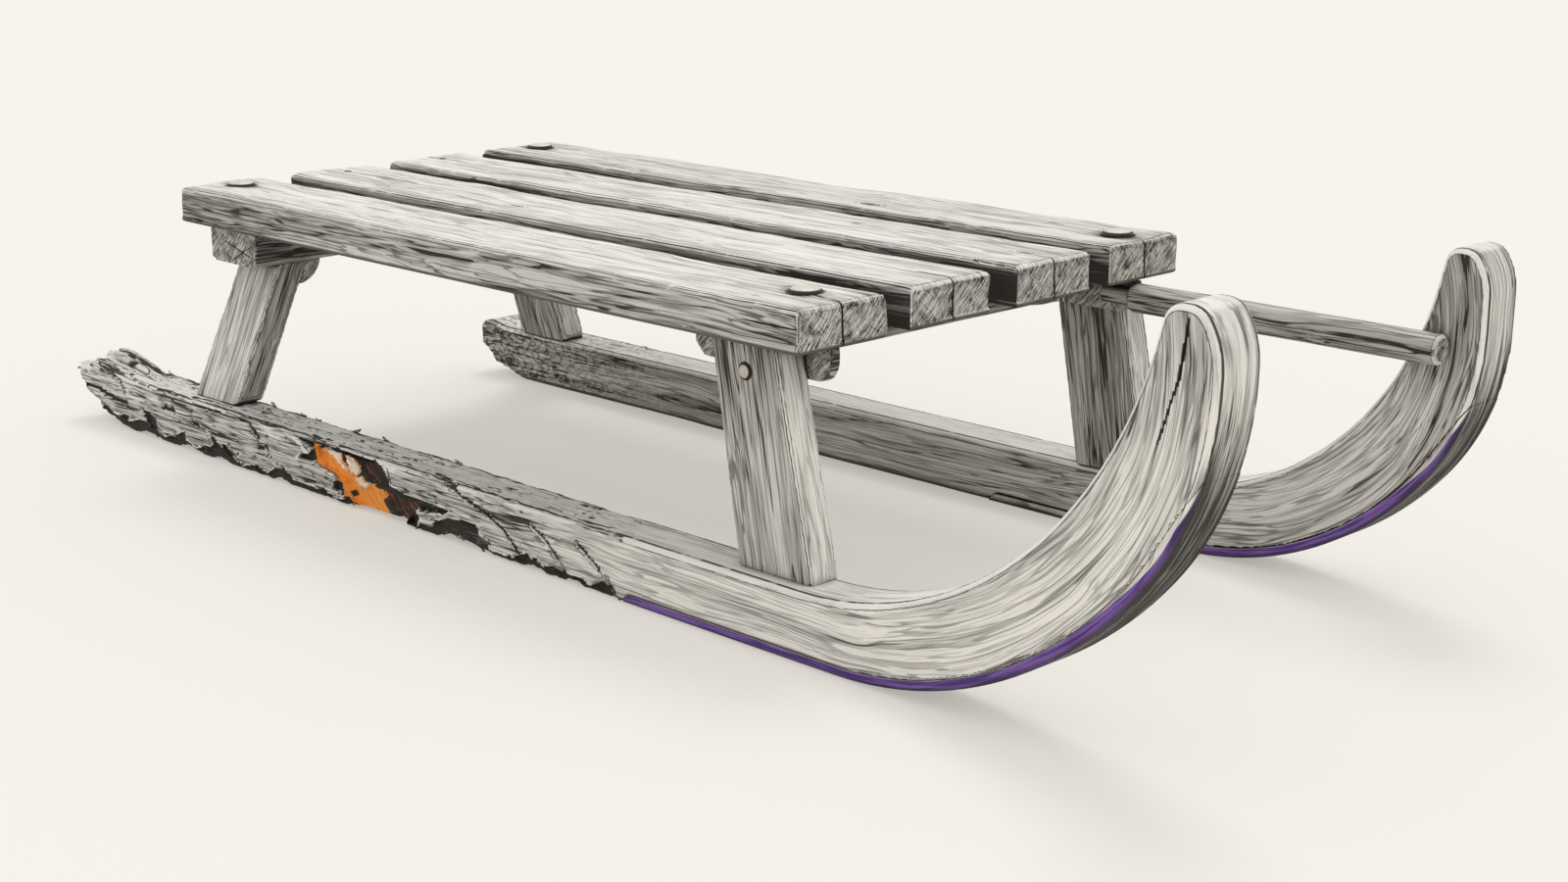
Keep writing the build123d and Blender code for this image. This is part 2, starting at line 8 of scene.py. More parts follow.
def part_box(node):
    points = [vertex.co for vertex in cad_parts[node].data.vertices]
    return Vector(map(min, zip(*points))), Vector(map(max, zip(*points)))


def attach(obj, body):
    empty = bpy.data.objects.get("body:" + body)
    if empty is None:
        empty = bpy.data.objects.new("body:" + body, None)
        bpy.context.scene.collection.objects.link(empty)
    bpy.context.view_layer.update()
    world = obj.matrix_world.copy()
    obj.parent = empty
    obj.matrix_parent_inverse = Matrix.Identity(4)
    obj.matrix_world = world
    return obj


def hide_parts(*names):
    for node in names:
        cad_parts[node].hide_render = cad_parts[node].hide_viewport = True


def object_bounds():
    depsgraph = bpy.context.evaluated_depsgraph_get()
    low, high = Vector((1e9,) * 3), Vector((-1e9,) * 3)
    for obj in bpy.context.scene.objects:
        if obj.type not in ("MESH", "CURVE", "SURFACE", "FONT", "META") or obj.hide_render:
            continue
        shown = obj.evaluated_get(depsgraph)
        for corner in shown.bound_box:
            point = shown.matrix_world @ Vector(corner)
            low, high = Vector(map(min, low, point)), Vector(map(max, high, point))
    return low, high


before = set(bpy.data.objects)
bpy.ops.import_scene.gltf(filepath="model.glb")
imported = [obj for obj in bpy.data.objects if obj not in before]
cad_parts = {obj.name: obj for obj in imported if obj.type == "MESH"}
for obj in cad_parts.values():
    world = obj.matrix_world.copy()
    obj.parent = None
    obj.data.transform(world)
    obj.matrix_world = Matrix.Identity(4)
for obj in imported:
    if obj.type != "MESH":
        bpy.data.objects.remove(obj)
cad_box = [list(corner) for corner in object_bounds()]

# A low slatted wooden sled, weathered grey. +X is forward and +Y the sled's left, in metres
# unless a comment says millimetres.
# A station is a distance forward from the deck's rear end, as in the part's source.
slat_boxes = [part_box(f"slat_{number}") for number in range(1, 5)]
middle_station = round(-min(low.x for low, high in slat_boxes), 4)
deck_length = round(max(high.x for low, high in slat_boxes) + middle_station, 4)
deck_top = round(slat_boxes[0][1].z, 4)
leg_outer = round(-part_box("right_front_leg")[0].y, 4)
runner_low, runner_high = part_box("right_runner")
runner_outer = round(-runner_low.y, 4)
runner_inner = round(-runner_high.y, 4)

# A runner turns up at the bend station, through the toe's arc, then the horn's tighter one.
bend_station = 0.838
toe_turn = math.radians(50)
toe_radius = 0.33
horn_radius = 0.224
right_horn_size = 1.0
left_horn_size = 0.83
rot_end = 0.612
stain_width = 0.0078
right_stain_start, left_stain_start = 0.59, 0.8

# Where the heads and knots are: station and Y, and for a knot its size
bolts = [(0.042, -0.178), (0.756, -0.169), (0.032, 0.18), (0.766, 0.179)]
slat_nails = [(0.034, -0.056), (0.027, 0.061)]
knots = [(0.765, 0.064, 0.006), (0.728, 0.101, 0.007), (0.31, -0.072, 0.006), (0.52, 0.15, 0.007)]
bolt_radius, bolt_rise = 0.0125, 0.0048
slat_nail_radius, slat_nail_rise = 0.0035, 0.0012
leg_nail_radius, leg_nail_rise = 0.0055, 0.0024
deck_head_sink, leg_head_sink = 0.0012, 0.0002

# The nail in a front leg's side: its station and height
leg_nail = (0.737, 0.197)

# Without a seed, noise_vector gives the rot and the chips another shape in each run.
noise_seed = 7
noise.seed_set(noise_seed)


def srgb(red, green, blue):
    """A colour given in 0 to 255 steps, as the linear colour that a shader takes."""
    parts = []
    for step in (red, green, blue):
        level = step / 255
        parts.append(level / 12.92 if level < 0.04045 else ((level + 0.055) / 1.055) ** 2.4)
    return (*parts, 1.0)


paper = srgb(248, 244, 236)
bleached = srgb(246, 242, 234)
grain_dark = srgb(46, 42, 37)
purple_stain = srgb(132, 96, 174)
purple_deep = srgb(78, 50, 120)
heart_orange = srgb(255, 162, 66)
heart_pale = srgb(255, 238, 214)
heart_brown = srgb(150, 84, 36)
# The heads' crown colours are wear and a painted highlight; iron_black and slat_nail_black are the
# iron's own colour and the painted shade of their steep sides.
bolt_crown = srgb(214, 208, 198)
slat_nail_crown = srgb(120, 112, 102)
leg_nail_crown = srgb(196, 188, 176)
iron_black = srgb(44, 40, 36)
slat_nail_black = srgb(40, 36, 32)

# How dark the lines of the grain are, and how rough and how deep its surface is
grain_strength = 0.62
wood_roughness = 0.88
wood_relief = 0.0006

# A line is drawn where the surface leans this much along an axis, just inside an arris, and on a
# runner's edge faces it runs this far from their middle.
line_lean = 0.957
line_reach = 0.0183


# Shader maths. In the functions that follow, f is the finish that is being made.
class Wire:
    """The output of a shader node, which sums and products can use like a number."""

    def __init__(self, finish, socket):
        self.finish = finish
        self.socket = socket

    def math(self, operation, first, second=0.0):
        return self.finish.node("ShaderNodeMath", {"operation": operation}, {0: first, 1: second})

    def __add__(self, other):
        return self.math("ADD", self, other)

    def __radd__(self, other):
        return self.math("ADD", other, self)

    def __sub__(self, other):
        return self.math("SUBTRACT", self, other)

    def __rsub__(self, other):
        return self.math("SUBTRACT", other, self)

    def __mul__(self, other):
        return self.math("MULTIPLY", self, other)

    def __rmul__(self, other):
        return self.math("MULTIPLY", other, self)

    def __abs__(self):
        return self.math("ABSOLUTE", self)

    def __gt__(self, other):
        return self.math("GREATER_THAN", self, other)

    def sine(self):
        return self.math("SINE", self)

    def root(self):
        return self.math("SQRT", self)

    def angle_from(self, other):
        return self.math("ARCTAN2", self, other)

    def at_least(self, other):
        return self.math("MAXIMUM", self, other)


class Finish:
    """A procedural material while it is being made."""

    def __init__(self, name, material=None):
        self.material = material or bpy.data.materials.new(name)
        self.material.use_nodes = True
        self.tree = self.material.node_tree
        self.tree.nodes.clear()

    def node(self, kind, settings=None, sockets=None, out=0):
        """Adds a node: its settings first, then the values or links of its sockets."""
        made = self.tree.nodes.new(kind)
        for key, value in (settings or {}).items():
            setattr(made, key, value)
        for key, value in (sockets or {}).items():
            if isinstance(value, Wire):
                self.tree.links.new(value.socket, made.inputs[key])
            else:
                made.inputs[key].default_value = value
        return Wire(self, made.outputs[out]) if made.outputs else None

    def place(self):
        """The X, Y and Z of the point that is shaded, in metres."""
        spot = self.node("ShaderNodeTexCoord", out="Object")
        return [self.node("ShaderNodeSeparateXYZ", sockets={0: spot}, out=axis) for axis in range(3)]

    def lean(self, axis):
        """How far the surface faces along a fixed direction, from -1 to 1."""
        normal = self.node("ShaderNodeNewGeometry", out="Normal")
        sockets = {0: normal, 1: axis}
        return self.node("ShaderNodeVectorMath", {"operation": "DOT_PRODUCT"}, sockets, out="Value")

    def clouds(self, x, y, z, detail=2.0, roughness=0.5):
        """Noise from 0 to 1 at coordinates that are already scaled."""
        spot = self.node("ShaderNodeCombineXYZ", sockets={0: x, 1: y, 2: z})
        values = {"Vector": spot, "Scale": 1.0, "Detail": detail, "Roughness": roughness}
        return self.node("ShaderNodeTexNoise", sockets=values)

    def ramp(self, value, low, high):
        """A smooth step from 0 at low to 1 at high, or down where low is the higher."""
        values = {0: value, 1: low, 2: high}
        return self.node("ShaderNodeMapRange", {"interpolation_type": "SMOOTHSTEP"}, values)

    def mix(self, factor, first, second):
        """A colour between two, first at factor 0 and second at factor 1."""
        values = {0: factor, 6: first, 7: second}
        return self.node("ShaderNodeMix", {"data_type": "RGBA"}, values, out=2)

    def crevice_shade(self, reach):
        """Painted shade from ambient occlusion: 1 deep in a gap or crack, 0 in the open."""
        values = {"Distance": reach}
        openness = self.node("ShaderNodeAmbientOcclusion", {"samples": 8}, values, out="AO")
        return self.ramp(openness, 0.85, 0.25)

    def strokes(self, x, y, z, width, detail=1.0):
        """Thin lines where soft noise passes its middle value."""
        return self.ramp(abs(self.clouds(x, y, z, detail=detail) - 0.5), width, width * 0.3)

    def finish(self, colour, roughness, height, depth, metallic=0.0):
        """Ends the material with its surface: colour, roughness and the bump of a height."""
        values = {"Height": height, "Distance": depth, "Strength": 1.0}
        bump = self.node("ShaderNodeBump", sockets=values)
        values = {"Base Color": colour, "Roughness": roughness, "Metallic": metallic, "Normal": bump}
        surface = self.node("ShaderNodeBsdfPrincipled", sockets=values)
        self.node("ShaderNodeOutputMaterial", sockets={"Surface": surface})
        return self.material


def blend(share, first, second):
    """The number between two, first at share 0 and second at share 1."""
    return (second - first) * share + first


def distance(first, second):
    """How far off a point is that lies first one way and second the other."""
    return (first * first + second * second).root()


def grain(f, u, v, w, seed):
    """Weathered grain along u: how dark the lines are, the broad tone, and the height."""
    wander = f.clouds(u * 5.0 + seed, v * 20, w * 20) - 0.5
    v = v + wander * 0.02
    w = w + wander * 0.015
    patch = f.ramp(f.clouds(u * 9 + seed, v * 50, w * 50), 0.4, 0.62)
    bold = f.strokes(u * 3.6, v * 130, w * 130, 0.036, detail=2.0)
    thin = f.strokes(u * 8, v * 300, w * 300, 0.06)
    hair = f.ramp(f.clouds(u * 32, v * 900, w * 900, detail=1.0), 0.55, 0.7)
    lines = (bold * (patch * 0.65 + 0.35)).at_least(thin * (0.8 - patch * 0.45))
    lines = lines.at_least(hair * 0.35)
    tone = f.ramp(f.clouds(u * 3.0, v * 75, w * 75, detail=3.0), 0.42, 0.72)
    band = f.strokes(u * 2.4 + seed, v * 46, w * 46, 0.07, detail=3.0)
    tone = tone * 0.1 + band * 0.22
    height = 1.0 - (bold * 0.6 + thin * 0.25 + hair * 0.15)
    return lines, tone, height


def end_grain(f, v, w, seed):
    """The sawn end of a board, hatched by the saw across its growth rings."""
    hatch = f.strokes((v + w) * 36 + seed, (w - v) * 420, seed, 0.13)
    cross = f.strokes((w - v) * 50, (v + w) * 150, seed + 4.0, 0.03)
    blot = f.ramp(f.clouds(v * 75, w * 75, seed, detail=2.0), 0.35, 0.7)
    return hatch * (0.65 + blot * 0.35) * 0.85 + cross * 0.3 + blot * 0.08


box_axes = ((1, 0, 0), (0, 1, 0), (0, 0, 1))


def squared(top, right, left, front, axes=box_axes):
    """Gives the painted shade of a squared piece on its top, right, left and end faces, the painted
    highlight of its rubbed edges and its front top arris, and how dark the lines along them."""

    def shade(f, x, y, z):
        ahead, across, up = [f.lean(axis) for axis in axes]
        # Painted shade: each face darker or lighter by the way it faces.
        side = blend(f.ramp(across, -0.3, 0.3), right, left)
        dark = blend(f.ramp(abs(ahead), 0.5, 0.8), side, front)
        dark = blend(f.ramp(up, 0.45, 0.8), dark, top)
        square = abs(ahead).at_least(abs(across)).at_least(abs(up))
        line = f.ramp(abs(square - line_lean), 0.028, 0.01) * 0.8
        line = f.ramp(square, 0.82, 0.75).at_least(line)
        # A painted highlight along the front top arris.
        front_arris_highlight = f.ramp(ahead, 0.2, 0.4) * f.ramp(up, 0.2, 0.4)
        return dark, f.ramp(square, 0.95, 0.88) + front_arris_highlight * 0.4, line * (1.0 - front_arris_highlight)

    return shade


def round_edge(f, pole):
    """The painted highlight of the rubbed edge, and its lines, on a piece whose edges run round a pole.
    """
    along = abs(f.lean(pole))
    square = along.at_least((1.0 - along * along).root())
    return f.ramp(square, 0.94, 0.87), f.ramp(abs(square - line_lean), 0.032, 0.012)


def rounded(top, under, pole):
    """Gives the painted shade of a round rod along a pole, lighter on top and darker underneath, with
    its edge highlight and lines.
    """

    def shade(f, x, y, z):
        up = f.lean((0, 0, 1))
        return blend(f.ramp(up, -0.5, 0.75), under, top), *round_edge(f, pole)

    return shade


def running_face_shade(f, z, size):
    """Painted shade on a runner's running face: dark low down, where it turns to the ground, and light
    up its horn.
    """
    return blend(f.ramp(z, 0.16 * size, 0.27 * size), 0.8, 0.06)


def bent(top, outer, inner, size, outward):
    """Gives the painted shade of a runner on its top, outer and inner faces, with the painted highlight
    of its edges and its lines. The painted shade deepens up towards the tip, a painted contact shadow
    darkens it near the ground, and a line follows each arris of its edge faces."""

    def shade(f, x, y, z):
        ahead, across, up = [f.lean(axis) for axis in box_axes]
        # Painted shade, by the way each face faces.
        side = blend(f.ramp(across * outward, -0.3, 0.3), inner, outer)
        # Painted shade deepening up the horn towards its tip.
        side = side + f.ramp(z, 0.17 * size, 0.29 * size) * 0.27
        running = f.ramp(ahead - up * 0.5, 0.0, 0.35)
        edge = blend(running, top, running_face_shade(f, z, size))
        dark = blend(f.ramp(abs(across), 0.6, 0.85), edge, side)
        # A painted contact shadow along the bottom.
        dark = dark + f.ramp(z, 0.0065, 0.0015) * 0.5
        rim, line = round_edge(f, (0, 1, 0))
        off_middle = abs(abs(y) - (runner_outer + runner_inner) / 2)
        contour = f.ramp(abs(off_middle - line_reach), 0.0018, 0.0009) * f.ramp(abs(across), 0.5, 0.3)
        # rim is a painted highlight along the edges.
        return dark, rim * 1.4, line.at_least(contour)

    return shade


def wood(name, along, seed, shade, ends=None, marks=None, paint=None):
    """Bare weathered wood. along turns X, Y and Z into the distance along the grain and the two
    across it, shade gives each face's painted shade, the painted highlight of its edges and their
    lines, and ends is the direction that end grain faces. marks darkens or lightens places, some of
    them with painted shade and highlight, and paint colours them."""
    f = Finish(name)
    x, y, z = f.place()
    u, v, w = along(x, y, z)
    lines, tone, height = grain(f, u, v, w, seed)
    base, rim, line = shade(f, x, y, z)
    dark = base + tone + lines * grain_strength
    if ends is not None:
        sawn = f.ramp(abs(f.lean(ends)), 0.66, 0.82)
        hatch = end_grain(f, v, w, seed)
        dark = blend(sawn, dark, hatch * 0.8 + 0.2)
        height = blend(sawn, height, 1.0 - hatch)
    broken = f.ramp(f.clouds(x * 70, y * 70, z * 70), 0.28, 0.45)
    rubbed_and_highlit = f.ramp(f.clouds(x * 14, y * 14, z * 14), 0.4, 0.6)
    # Lightened edges: wear, and a painted highlight.
    dark = dark * (1.0 - rim * (rubbed_and_highlit * 0.55 + 0.2)).at_least(0.0)
    dark = dark.at_least(line * (broken * 0.6 + 0.35))
    if marks is not None:
        dark = marks(f, x, y, z, dark)
    # Painted shade in gaps and cracks.
    dark = dark.at_least(f.crevice_shade(0.02))
    body = f.mix(dark, bleached, grain_dark)
    if paint is not None:
        body = paint(f, x, y, z, body)
    return f.finish(body, wood_roughness, height, wood_relief)


def along_x(x, y, z):
    return x, y, z


def along_y(x, y, z):
    return y, x, z


def along_leg(rake, splay=0.0):
    """Grain that runs up a leg, which leans back by rake and right by splay for each unit up."""

    def turned(x, y, z):
        return z, x + z * rake, y + z * splay

    return turned


def along_bend(size):
    """Grain that follows a runner round its bend and up its horn, whose size is given."""
    toe = toe_radius * size
    horn = horn_radius * size
    horn_station = bend_station + (toe - horn) * math.sin(toe_turn)
    horn_height = toe - (toe - horn) * math.cos(toe_turn)

    def turned(x, y, z):
        station = x + middle_station
        ahead, below = station - bend_station, toe - z
        horn_ahead, horn_below = station - horn_station, horn_height - z
        toe_angle = ahead.angle_from(below)
        horn_angle = horn_ahead.angle_from(horn_below)
        toe_run = toe_angle * toe + bend_station
        horn_run = (horn_angle - toe_turn) * horn + (bend_station + toe * toe_turn)
        toe_in = toe - distance(ahead, below)
        horn_in = horn - distance(horn_ahead, horn_below)
        on_toe = station > bend_station
        on_horn = on_toe * (toe_angle > toe_turn)
        straight = 1.0 - on_toe
        toe_only = on_toe - on_horn
        run = station * straight + toe_run * toe_only + horn_run * on_horn
        inward = z * straight + toe_in * toe_only + horn_in * on_horn
        f = x.finish
        inward = inward * blend(f.ramp(abs(f.lean((0, 1, 0))), 0.6, 0.85), 0.12, 1.0)
        return run, inward, y

    return turned


def rot_marks_and_shade(f, x, y, z, dark):
    """Rot on the right runner: dark splits and pocks, painted shade that blackens it where the skin has
    gone, and a painted highlight along its broken edge.
    """
    tone = f.node("ShaderNodeAttribute", {"attribute_name": "rot_painted_light_and_tone"}, out="Fac")
    speck = f.ramp(f.clouds(x * 110, y * 200, z * 260, detail=3.0), 0.35, 0.65)
    rotten = f.ramp(x, rot_end - 0.02 - middle_station, rot_end - 0.12 - middle_station)
    split = f.strokes(x * 16 + z * 20, y * 40, z * 230, 0.06, detail=3.0)
    pock = f.ramp(f.clouds(x * 55, y * 90, z * 170, detail=3.0), 0.62, 0.7)
    side = 1.0 - f.ramp(f.lean((0, 0, 1)), 0.45, 0.8) * 0.7
    dark = dark + (split * 0.4).at_least(pock * 0.6) * rotten * side + rotten * 0.05
    # Painted shade where the tone is low, as where the skin has gone.
    dark = dark + f.ramp(tone, 0.42, 0.12) * (0.8 + speck * 0.3)
    # A painted highlight where the tone is high, along the broken edges.
    return dark * (1.0 - f.ramp(tone, 0.6, 0.92) * 0.9)


def heart_paint(f, x, y, z, body):
    """The orange heart of the fresh break, with pale torn fibres, brown scratches, and brown where
    painted shade falls in its hollows.
    """
    tone = f.node("ShaderNodeAttribute", {"attribute_name": "rot_painted_light_and_tone"}, out="Fac")
    heart = f.node("ShaderNodeAttribute", {"attribute_name": "heart"}, out="Fac")
    slant, rise = x * 0.8 - z * 0.6, x * 0.6 + z * 0.8
    fibre = f.clouds(slant * 42, y * 50, rise * 210, detail=3.0, roughness=0.6)
    scratch = f.strokes(slant * 30, y * 40, rise * 300, 0.05, detail=2.0)
    warm = f.mix(f.ramp(tone + (fibre - 0.5) * 0.5, 0.18, 0.4), heart_brown, heart_orange)
    warm = f.mix(f.ramp(tone + (fibre - 0.5) * 0.4, 0.66, 0.86), warm, heart_pale)
    warm = f.mix(scratch * 0.4, warm, heart_brown)
    return f.mix(f.ramp(heart + (fibre - 0.5) * 0.5, 0.35, 0.6), body, warm)


def make_sole_finish(name, size, start, shade, seed):
    """A sole's wood, with purple stain on its side edges ahead of the start station, tapering up
    the horn."""
    along = along_bend(size)
    horn_run = bend_station + toe_radius * size * toe_turn
    fade_low = horn_run - math.radians(8) * toe_radius * size
    fade_high = horn_run + math.radians(26) * horn_radius * size

    def stain(f, x, y, z, body):
        u, v, w = along(x, y, z)
        width = blend(f.ramp(u, fade_low, fade_high), stain_width, 0.0)
        side = f.ramp(abs(f.lean((0, 1, 0))), 0.45, 0.6) * f.ramp(v - width, 0.0003, -0.0003)
        side = side * f.ramp(u, start, start + 0.03)
        tone = f.clouds(u * 22, v * 480, w * 90, detail=2.0)
        purple = f.mix(f.ramp(tone, 0.38, 0.62), purple_stain, purple_deep)
        purple = f.mix(f.ramp(v, 0.0022, 0.0) * 0.7, purple, grain_dark)
        return f.mix(side, body, purple)

    return wood(name, along, seed, shade, paint=stain)


def slat_marks(f, x, y, z, dark):
    """A deck slat's painted shadow ring and iron stain round each bolt head, its knots, painted shade
    on its sides, in its gaps and along its lower edges, its tops darker towards the left, and the
    fibres that stand out at its front end."""
    top = f.ramp(z, deck_top - 0.006, deck_top - 0.003)
    for station, bolt_y in bolts:
        ahead, across = x - (station - middle_station), y - bolt_y
        # A painted shadow ring round the head.
        ring = f.ramp(distance(ahead, across), bolt_radius + 0.0031, bolt_radius + 0.0013)
        off = distance(ahead * 0.6, across) + (f.clouds(x * 40, y * 120, z * 40) - 0.5) * 0.008
        stain = f.ramp(off, bolt_radius + 0.0045, bolt_radius - 0.002) * 0.35
        dark = dark + stain.at_least(ring * 0.8) * top
    for station, knot_y, size in knots:
        off = distance((x - (station - middle_station)) * 0.45, y - knot_y) * (1.0 / size)
        off = off + (f.clouds(x * 60, y * 90, z * 60) - 0.5) * 0.5
        rings = f.ramp((off * 13.0).sine(), 0.2, 0.9) * f.ramp(off, 1.35, 0.8)
        dark = dark + rings.at_least(f.ramp(off, 0.65, 0.25)) * top * 0.75
    front = deck_length - middle_station
    sides = 1.0 - f.ramp(z, deck_top - 0.008, deck_top - 0.005)
    # Painted shade on the sides, darker towards the rear, and a little towards the front.
    dark = dark + f.ramp(x, 0.3 - middle_station, -middle_station) * sides * 0.24
    flank = sides * f.ramp(abs(f.lean((1, 0, 0))), 0.6, 0.4)
    dark = dark + f.ramp(x, front - 0.2, front - 0.04) * flank * 0.08
    # Tops darker towards the left.
    dark = dark + f.ramp(y, 0.05, 0.15) * top * 0.1
    # Painted shade on the sides in the gaps between slats.
    gap = f.ramp(abs(y), 0.215, 0.21) * flank
    dark = dark + gap * (f.ramp(z, deck_top - 0.008, deck_top - 0.03) * 0.3 + 0.34)
    # Painted shade along each slat's lower edge.
    dark = dark.at_least(f.ramp(z, deck_top - 0.0288, deck_top - 0.0306) * 0.9)
    fringe = f.ramp(x, front - 0.03, front - 0.006) * f.ramp(z, deck_top - 0.009, deck_top - 0.004)
    return dark + f.strokes(x * 26, y * 480, z * 60, 0.08) * fringe * 0.4


def leg_deck_shade(f, x, y, z, dark):
    """Painted shade on a leg, darker up towards the deck."""
    return dark + f.ramp(z, 0.13, 0.205) * 0.2


def leg_marks(f, x, y, z, dark):
    """A front leg has the same painted shade under the deck, and a dark ring in the wood round the nail
    in its side.
    """
    off = distance(x - (leg_nail[0] - middle_station), z - leg_nail[1])
    ring = f.ramp(abs(off - leg_nail_radius - 0.0004), 0.0013, 0.0006)
    return leg_deck_shade(f, x, y, z, dark) + ring * 0.5


def far_marks(f, x, y, z, dark):
    """The left runner's wood is darker and curled by rot towards its rear."""
    rear = f.ramp(x, 0.3 - middle_station, -middle_station)
    curl = f.strokes(x * 80, y * 110, z * 150, 0.08, detail=3.0)
    return dark + rear * (curl * 0.4 + 0.06)


def make_iron(name, crown, rim, top=(0, 0, 1)):
    """Old black iron, light on its crown, which faces along top, with wear and a painted highlight
    there, and painted shade on its steep sides and in its crevices.
    """
    f = Finish(name)
    x, y, z = f.place()
    pits = f.clouds(x * 600, y * 600, z * 600, detail=3.0)
    # Painted shade on the steep sides; the crown keeps its painted highlight.
    steep_shade = f.ramp(abs(f.lean(top)) + (pits - 0.5) * 0.1, 0.93, 0.8)
    body = f.mix(steep_shade, crown, rim)
    body = f.mix(f.ramp(pits, 0.58, 0.72) * 0.5, body, rim)
    body = f.mix(f.crevice_shade(0.003), body, grain_dark)
    return f.finish(body, 0.5, pits, 0.0002, metallic=0.25)


# Shaping tools
def choose(obj):
    """Makes obj the only selected object, and the active one."""
    bpy.ops.object.select_all(action="DESELECT")
    obj.select_set(True)
    bpy.context.view_layer.objects.active = obj


def apply(obj, kind, **settings):
    """Adds a modifier with these settings to obj and applies it."""
    choose(obj)
    modifier = obj.modifiers.new(kind.lower(), kind)
    for key, value in settings.items():
        setattr(modifier, key, value)
    bpy.ops.object.modifier_apply(modifier=modifier.name)


def blank_of(node_name, name):
    """A copy of a CAD node's mesh, its loose triangles merged, to be worn down."""
    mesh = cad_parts[node_name].data.copy()
    obj = bpy.data.objects.new(name, mesh)
    bpy.context.collection.objects.link(obj)
    mesh.materials.clear()
    choose(obj)
    bpy.ops.object.mode_set(mode="EDIT")
    bpy.ops.mesh.select_all(action="SELECT")
    bpy.ops.mesh.remove_doubles(threshold=0.00001)
    bpy.ops.mesh.normals_make_consistent(inside=False)
    bpy.ops.object.mode_set(mode="OBJECT")
    return obj


def weigh(obj, rule):
    """A vertex group named share, which rule fills from each point's place."""
    group = obj.vertex_groups.new(name="share")
    for vertex in obj.data.vertices:
        group.add([vertex.index], rule(vertex.co), "REPLACE")
    return group.name


def wear(obj, period, strength, keep, group=""):
    """Wears obj by soft noise, with its own period along each axis. Where the noise is under keep
    the surface sinks, and over it the surface stands out."""
    guide = bpy.data.objects.new("guide", None)
    guide.scale = period
    bpy.context.collection.objects.link(guide)
    bpy.context.view_layer.update()
    texture = bpy.data.textures.new("wear", "CLOUDS")
    texture.noise_scale = 1.0
    texture.noise_depth = 2
    apply(
        obj,
        "DISPLACE",
        texture=texture,
        texture_coords="OBJECT",
        texture_coords_object=guide,
        strength=strength,
        mid_level=keep,
        vertex_group=group,
    )
    bpy.data.objects.remove(guide)
    bpy.data.textures.remove(texture)


def lens(centre, half, turn=(0.0, 0.0, 0.0)):
    """A thin lens-shaped cutter for a crack or a hole, given its half sizes."""
    bpy.ops.object.select_all(action="DESELECT")
    bpy.ops.mesh.primitive_uv_sphere_add(segments=16, ring_count=10, location=centre, rotation=turn)
    cutter = bpy.context.object
    cutter.scale = half
    bpy.ops.object.transform_apply(location=True, rotation=True, scale=True)
    return cutter


def in_frame(station, y, height):
    """A place given in millimetres, as the frame has it in metres."""
    return station / 1000 - middle_station, y / 1000, height / 1000


def slanted(station, y, height, half, width, depth, climb):
    """A lens cutter in a side face: its middle in millimetres, its climb in degrees."""
    turn = (0.0, math.radians(-climb), 0.0)
    return lens(in_frame(station, y, height), (half / 1000, depth / 1000, width / 1000), turn)


def cut(obj, cutters):
    """Cuts the cutters out of obj, one by one where they meet, and removes them."""
    for cutter in cutters:
        apply(obj, "BOOLEAN", object=cutter, operation="DIFFERENCE", solver="MANIFOLD")
        bpy.data.objects.remove(cutter)


def keep_in_box(piece):
    """Holds every point of a piece inside the solids' own bounds."""
    low, high = cad_box
    for vertex in piece.data.vertices:
        for axis in range(3):
            vertex.co[axis] = min(max(vertex.co[axis], low[axis]), high[axis])


def done(obj, material, slot, *node_names, angle=40):
    """Shades a finished piece, gives it its material and lets it stand for its CAD nodes."""
    choose(obj)
    bpy.ops.object.shade_smooth_by_angle(angle=math.radians(angle))
    obj.vertex_groups.clear()
    obj.data.materials.clear()
    obj.data.materials.append(material)
    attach(obj, "root")
    if node_names:
        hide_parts(*node_names)


# Deck slats
# Columns for each slat: the crack line's Y on the front end, how far it runs back on the top,
# and its turn seen from above.
slat_checks = [
    (-0.1755, 0.046, -0.16),
    (-0.0565, 0.036, -0.12),
    (0.0583, 0.034, -0.1),
    (0.1755, 0.034, -0.14),
]

# Columns for more cracks and chips, in millimetres: the slat, the cutter's station, Y and height,
# its half length, half width and half depth, and its turn seen from above.
slat_chips = [
    (0, 15, -220.4, 230.5, 19, 3.2, 0.7, 0.0),
    (0, 772, -220.4, 237, 31, 3.4, 0.8, 0.0),
    (0, 640, -220.4, 229, 26, 2.4, 0.6, 0.0),
    (0, 250, -220.4, 233, 40, 2.2, 0.6, 0.0),
    (2, 775, 12.0, 253.5, 36, 6.5, 7.0, -0.03),
    (2, 735, 12.5, 252.5, 20, 3.0, 3.0, 0.05),
    (2, 34, 12.6, 236, 18, 3.0, 2.0, 0.0),
]
slat_voxel = 0.0025


